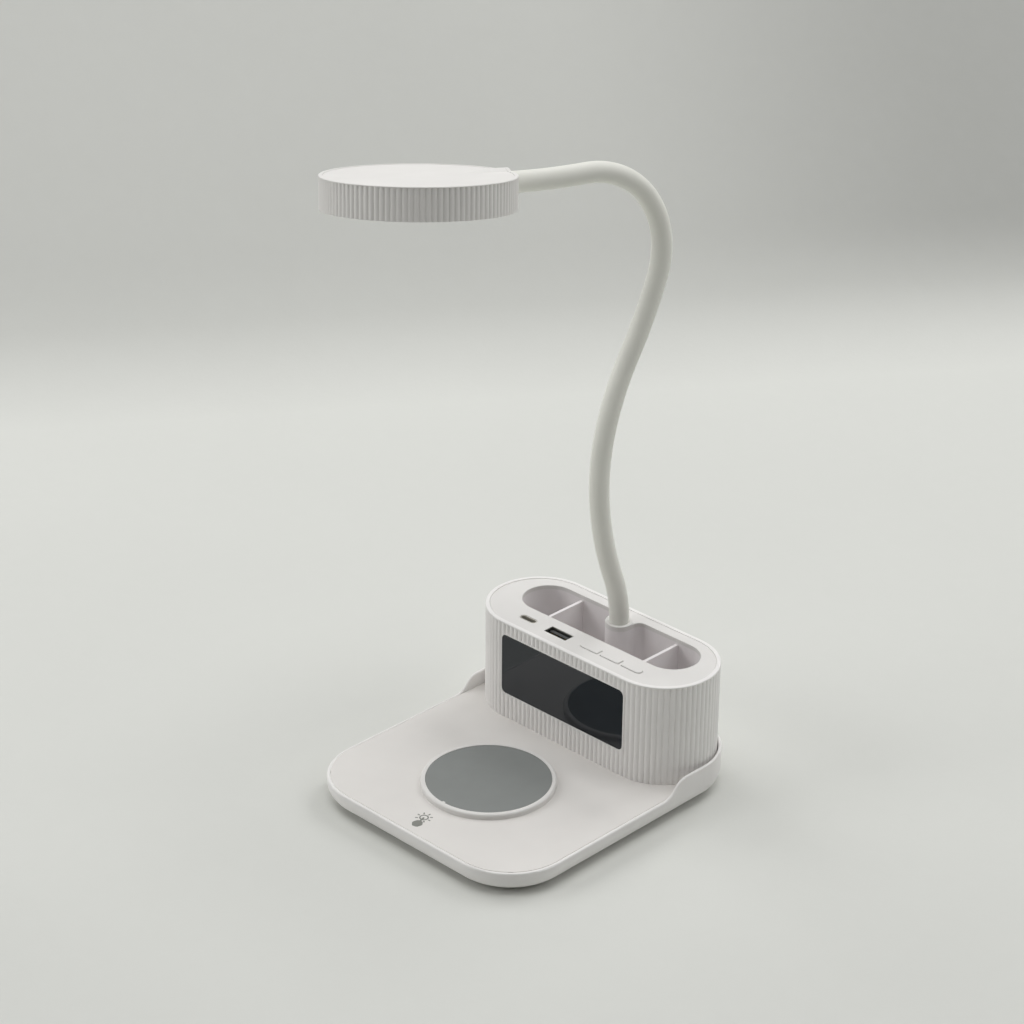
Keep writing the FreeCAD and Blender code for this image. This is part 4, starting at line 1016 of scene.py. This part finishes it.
@dataclass
class Gooseneck:
    """Silicone-skinned neck that bends at seven joints.

    Attributes:
        radius: outside radius of the skin.
        wall: thickness of the skin.
        facets: faces round the skin.
        step: length of one face along the neck.
        root_depth: skin inside the holder's boss.
        tip_depth: skin inside the head's collar.
        head_radius: from the head's axis to its edge.
        above_board: neck's axis above the middle of the LED board.
        joints: the neck's joints, from the holder up.
        arcs: the neck's line, one arc per link.
    """

    radius: float = 4.5 * MM
    wall: float = 0.5 * MM
    facets: int = 48
    step: float = 1.0 * MM
    root_depth: float = 13.9 * MM
    tip_depth: float = 7.1 * MM
    head_radius: float = 39.85 * MM
    above_board: float = 4.3 * MM
    joints: list[dict] = field(init=False)
    arcs: list[Arc] = field(init=False)

    def build(self) -> None:
        """Builds the skins from the holder to the head, across the joints, and dresses the hose."""
        self.joints = [joint for joint in frame["joints"] if joint["name"].startswith("neck_")]
        self.arcs = self._arcs()
        self._root()
        for number, joint in enumerate(self.joints):
            self._bend(number, joint)
        self._tip()
        for finish, stem in ((ZINC, "neck_core_"), (SILICONE_SKIN, "neck_sleeve_")):
            dress(finish, *[node for node in frame["nodes"] if node.startswith(stem)])

    def _arcs(self) -> list[Arc]:
        """Works out the neck's line from its joints.

        Returns:
            One arc per link, from the holder to the head.
        """
        foot = centre("neck_ferrule")
        foot.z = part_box("holder_shell")[1].z
        normal = main_normal("led_board")
        middle = centre("led_board")
        last = Vector(self.joints[-1]["pos_m"])
        towards = last - middle
        towards = (towards - normal * towards.dot(normal)).normalized()
        head = middle + towards * self.head_radius + normal * self.above_board
        stops = [Vector(joint["pos_m"]) for joint in self.joints] + [head]
        arcs = []
        start, tangent = foot, UP
        for stop in stops:
            arc = Arc(start, tangent, stop)
            arcs.append(arc)
            start, tangent = stop, arc.direction(1.0)
        return arcs

    def _ring(self, place: Vector, along: Vector) -> Piece:
        """Starts a skin as a flat ring square to the neck.

        Args:
            place: the ring's middle.
            along: the neck's direction there.

        Returns:
            The ring, in edit mode.
        """
        turn = along.to_track_quat("Z", "Y").to_euler()
        piece = begin(
            bpy.ops.mesh.primitive_circle_add,
            vertices=self.facets, radius=self.radius, fill_type="NGON",
            location=place, rotation=turn,
        )
        bpy.ops.mesh.inset(thickness=self.wall, depth=0)
        bpy.ops.mesh.delete(type="FACE")
        bpy.ops.mesh.select_all(action="SELECT")
        return piece

    def _spin(self, arc: Arc, start: float, stop: float) -> None:
        """Carries the selected ring along part of an arc.

        Args:
            arc: the arc.
            start: share of its length where it begins.
            stop: share where it ends.
        """
        angle = arc.angle * (stop - start)
        steps = max(2, round(arc.radius * angle / self.step))
        bpy.ops.mesh.spin(steps=steps, angle=-angle, center=arc.centre, axis=arc.axis)

    def _bend(self, number: int, joint: dict) -> None:
        """Builds the skin across one joint, from mid-link to mid-link.

        Args:
            number: which joint, counted from 0.
            joint: the joint.
        """
        below, above = self.arcs[number], self.arcs[number + 1]
        piece = self._ring(below.point(0.5), below.direction(0.5))
        self._spin(below, 0.5, 1.0)
        self._spin(above, 0.0, 0.5)
        end(piece, f"neck_skin_{number + 1}", SILICONE_SKIN)
        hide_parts(f"neck_sleeve_{number + 2}")
        below.point(0.5)
        above.point(0.5)
        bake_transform(piece)
        log.info("%s: bends at %s", piece.name, joint["name"])

    def _root(self) -> None:
        """Builds the skin from the holder's boss to the middle of the first link."""
        arc = self.arcs[0]
        piece = self._ring(arc.start - UP * self.root_depth, UP)
        bpy.ops.mesh.extrude_region_move(
            TRANSFORM_OT_translate={"value": (0, 0, self.root_depth)}
        )
        self._spin(arc, 0.0, 0.5)
        end(piece, "neck_skin_root", SILICONE_SKIN)
        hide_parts("neck_sleeve_1")
        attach(piece, "base_unit")

    def _tip(self) -> None:
        """Builds the skin from the middle of the last link into the head's collar."""
        arc = self.arcs[-1]
        piece = self._ring(arc.point(0.5), arc.direction(0.5))
        self._spin(arc, 0.5, 1.0)
        bpy.ops.mesh.extrude_region_move(
            TRANSFORM_OT_translate={"value": arc.direction(1.0) * self.tip_depth}
        )
        end(piece, "neck_skin_tip", SILICONE_SKIN)
        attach(piece, "lamp_head")


# -------------------------------------------------------------------- the head
@dataclass
class LampHead:
    """Round ribbed head with its cover, LED board and diffuser."""

    def build(self) -> None:
        """Dresses the head's nodes."""
        dress(WHITE_ABS, "head_housing", "head_top_cover")
        dress(OPAL, "diffuser")
        dress(WHITE_ALUMINIUM, "led_board")
        dress(PHOSPHOR, "led_chips")
        dress(ZINC, "head_screws", "neck_keeper")


# ------------------------------------------------------------------ the studio
@dataclass(frozen=True)
class Lamp:
    """A soft square studio lamp.

    Attributes:
        name: its name.
        away: how far behind the origin it hangs, seen from the camera.
        right: how far to the camera's right of the origin.
        height: how high it hangs.
        size: its side.
        power: its power in watts.
        aim: height of the point above the origin that it shines at.
    """

    name: str
    away: float
    right: float
    height: float
    size: float
    power: float
    aim: float = 0.1

    def build(self, azimuth: float) -> None:
        """Hangs the lamp.

        Args:
            azimuth: the camera's side, in degrees from the front.
        """
        turn = math.radians(azimuth)
        behind = Vector((-math.sin(turn), math.cos(turn), 0))
        across = Vector((math.cos(turn), math.sin(turn), 0))
        place = behind * self.away + across * self.right + UP * self.height
        data = bpy.data.lights.new(self.name, "AREA")
        data.shape = "SQUARE"
        data.size = self.size
        data.energy = self.power
        lamp = bpy.data.objects.new(self.name, data)
        bpy.context.scene.collection.objects.link(lamp)
        lamp.location = place
        lamp.rotation_euler = (UP * self.aim - place).to_track_quat("-Z", "Y").to_euler()
        log.info("%s: %.1f W", self.name, self.power)


LAMPS = (
    Lamp("overhead", away=0.0, right=0.0, height=2.4, size=1.6, power=23.8),
    Lamp("back_left", away=1.2, right=-1.2, height=1.6, size=1.2, power=11.5),
    Lamp("back_right", away=1.2, right=1.2, height=1.6, size=1.2, power=15.3),
    Lamp("left", away=-0.2, right=-1.7, height=0.85, size=1.0, power=10.0),
    Lamp("right", away=-0.1, right=1.8, height=1.3, size=1.2, power=6.8),
    Lamp("front_right", away=-1.2, right=1.2, height=1.4, size=1.2, power=3.1),
)
# Colour of the room beyond the paper.
ROOM = "#C3C4C0"
# Width of the frame that the focal length refers to, in pixels.
FRAME_PIXELS = 1024


@dataclass
class Studio:
    """Camera, paper sweep, lamps and world.

    Attributes:
        azimuth: the camera's side, in degrees from the front.
        elevation: its height above the horizon, in degrees.
        roll: its turn about its own axis, in degrees.
        distance: from the camera to its target.
        target: the point it looks at.
        focal: focal length in pixels of the frame.
        sensor: width of the camera's sensor, in millimetres.
        near: nearest thing that the camera sees.
        far: farthest thing that it sees.
        sweep_back: distance behind the origin where the paper turns up.
        sweep_radius: radius of that turn.
        sweep_slope: slope of the paper behind the turn, in degrees.
        sweep_length: length of that slope.
        sweep_turn: direction of the sweep's back, in degrees from the camera's.
        sweep_reach: half the width of the paper and of its level part's length.
        sweep_steps: faces in the turn.
        sweep_smooth: edges sharper than this stay sharp, in degrees.
    """

    azimuth: float = 44.34
    elevation: float = 26.45
    roll: float = 0.48
    distance: float = 1185.1 * MM
    target: Vector = Vector((-7.94 * MM, -1.5 * MM, 132.68 * MM))
    focal: float = 2800.0
    sensor: float = 36.0
    near: float = 0.05
    far: float = 20.0
    sweep_back: float = 0.412
    sweep_radius: float = 0.12
    sweep_slope: float = 40.0
    sweep_length: float = 0.45
    sweep_turn: float = 10.0
    sweep_reach: float = 3.0
    sweep_steps: int = 16
    sweep_smooth: float = 60.0

    def build(self) -> None:
        """Sets up the whole studio."""
        self._camera()
        self._sweep()
        for lamp in LAMPS:
            lamp.build(self.azimuth)
        self._world()
        bpy.context.scene.view_settings.view_transform = "Standard"

    def _back(self) -> Vector:
        """Returns the direction from the target to the camera."""
        azimuth, elevation = math.radians(self.azimuth), math.radians(self.elevation)
        return Vector((
            math.sin(azimuth) * math.cos(elevation),
            -math.cos(azimuth) * math.cos(elevation),
            math.sin(elevation),
        ))

    def _camera(self) -> None:
        """Places the camera."""
        back = self._back()
        right = UP.cross(back).normalized()
        over = back.cross(right)
        turn = math.radians(self.roll)
        across = right * math.cos(turn) + over * math.sin(turn)
        above = over * math.cos(turn) - right * math.sin(turn)
        data = bpy.data.cameras.new("camera")
        data.sensor_width = self.sensor
        data.lens = self.focal / FRAME_PIXELS * self.sensor
        data.clip_start, data.clip_end = self.near, self.far
        camera = bpy.data.objects.new("camera", data)
        bpy.context.scene.collection.objects.link(camera)
        place = self.target + back * self.distance
        camera.matrix_world = Matrix((
            (across.x, above.x, back.x, place.x),
            (across.y, above.y, back.y, place.y),
            (across.z, above.z, back.z, place.z),
            (0, 0, 0, 1),
        ))
        bpy.context.scene.camera = camera

    def _sweep(self) -> None:
        """Models the paper sweep: a floor that turns up into a slope."""
        turn = math.radians(self.azimuth + self.sweep_turn)
        away = Vector((-math.sin(turn), math.cos(turn), 0))
        side = Vector((away.y, -away.x, 0))
        reach = self.sweep_reach
        piece = begin(
            bpy.ops.mesh.primitive_plane_add,
            size=1.0, location=(0, 0, 0), rotation=(0, 0, math.atan2(side.y, side.x)),
        )
        bpy.ops.transform.resize(value=(2 * reach, 2 * reach, 1), orient_type="LOCAL")
        bpy.ops.transform.translate(value=away * (self.sweep_back - reach))
        bpy.ops.mesh.select_mode(type="EDGE")
        bpy.ops.mesh.select_all(action="DESELECT")
        bpy.ops.object.mode_set(mode="OBJECT")
        corners = [piece.matrix_world @ vertex.co for vertex in piece.data.vertices]
        for edge in piece.data.edges:
            first, second = edge.vertices
            middle = (corners[first] + corners[second]) / 2
            edge.select = middle.dot(away) > self.sweep_back - reach / 2
        bpy.ops.object.mode_set(mode="EDIT")
        pivot = away * self.sweep_back + UP * self.sweep_radius
        slope = math.radians(self.sweep_slope)
        bpy.ops.mesh.spin(steps=self.sweep_steps, angle=-slope, center=pivot, axis=side)
        climb = (away * math.cos(slope) + UP * math.sin(slope)) * self.sweep_length
        bpy.ops.mesh.extrude_region_move(TRANSFORM_OT_translate={"value": climb})
        bpy.ops.mesh.select_mode(type="VERT")
        # The paper's raised end gets painted shade, darker towards the right.
        paper = SweepPaper(
            "pale_paper_sweep", "#DBDCD7", 0.85, 1.45, grain_mm=3.0, relief_mm=0.05,
            drift=0.008, drift_mm=160.0, side=tuple(side),
        )
        end(piece, "paper_sweep", paper, self.sweep_smooth)

    def _world(self) -> None:
        """Makes the room pale wherever the paper ends, without lighting the lamp."""
        world = bpy.data.worlds.new("studio")
        bpy.context.scene.world = world
        world.use_nodes = True
        tree = world.node_tree
        tree.nodes.clear()
        path = add_node(tree, "ShaderNodeLightPath").outputs
        seen = path["Is Camera Ray"]
        for ray in ("Is Glossy Ray", "Is Transmission Ray"):
            either = add_node(
                tree, "ShaderNodeMath", {0: seen, 1: path[ray]}, {"operation": "MAXIMUM"}
            )
            seen = either.outputs["Value"]
        room = add_node(tree, "ShaderNodeBackground", {"Color": srgb(ROOM), "Strength": seen})
        add_node(tree, "ShaderNodeOutputWorld", {"Surface": room.outputs["Background"]})


def main() -> None:
    """Builds the lamp and its studio."""
    logging.basicConfig(level=logging.INFO, format="%(name)s: %(message)s")
    for assembly in (
        Studio(), BaseUnit(), *BEADS, TouchMark(), Charger(), PenHolder(), Gooseneck(), LampHead(),
    ):
        assembly.build()
        log.info("%s is done", type(assembly).__name__)


if __name__ == "__main__":
    main()
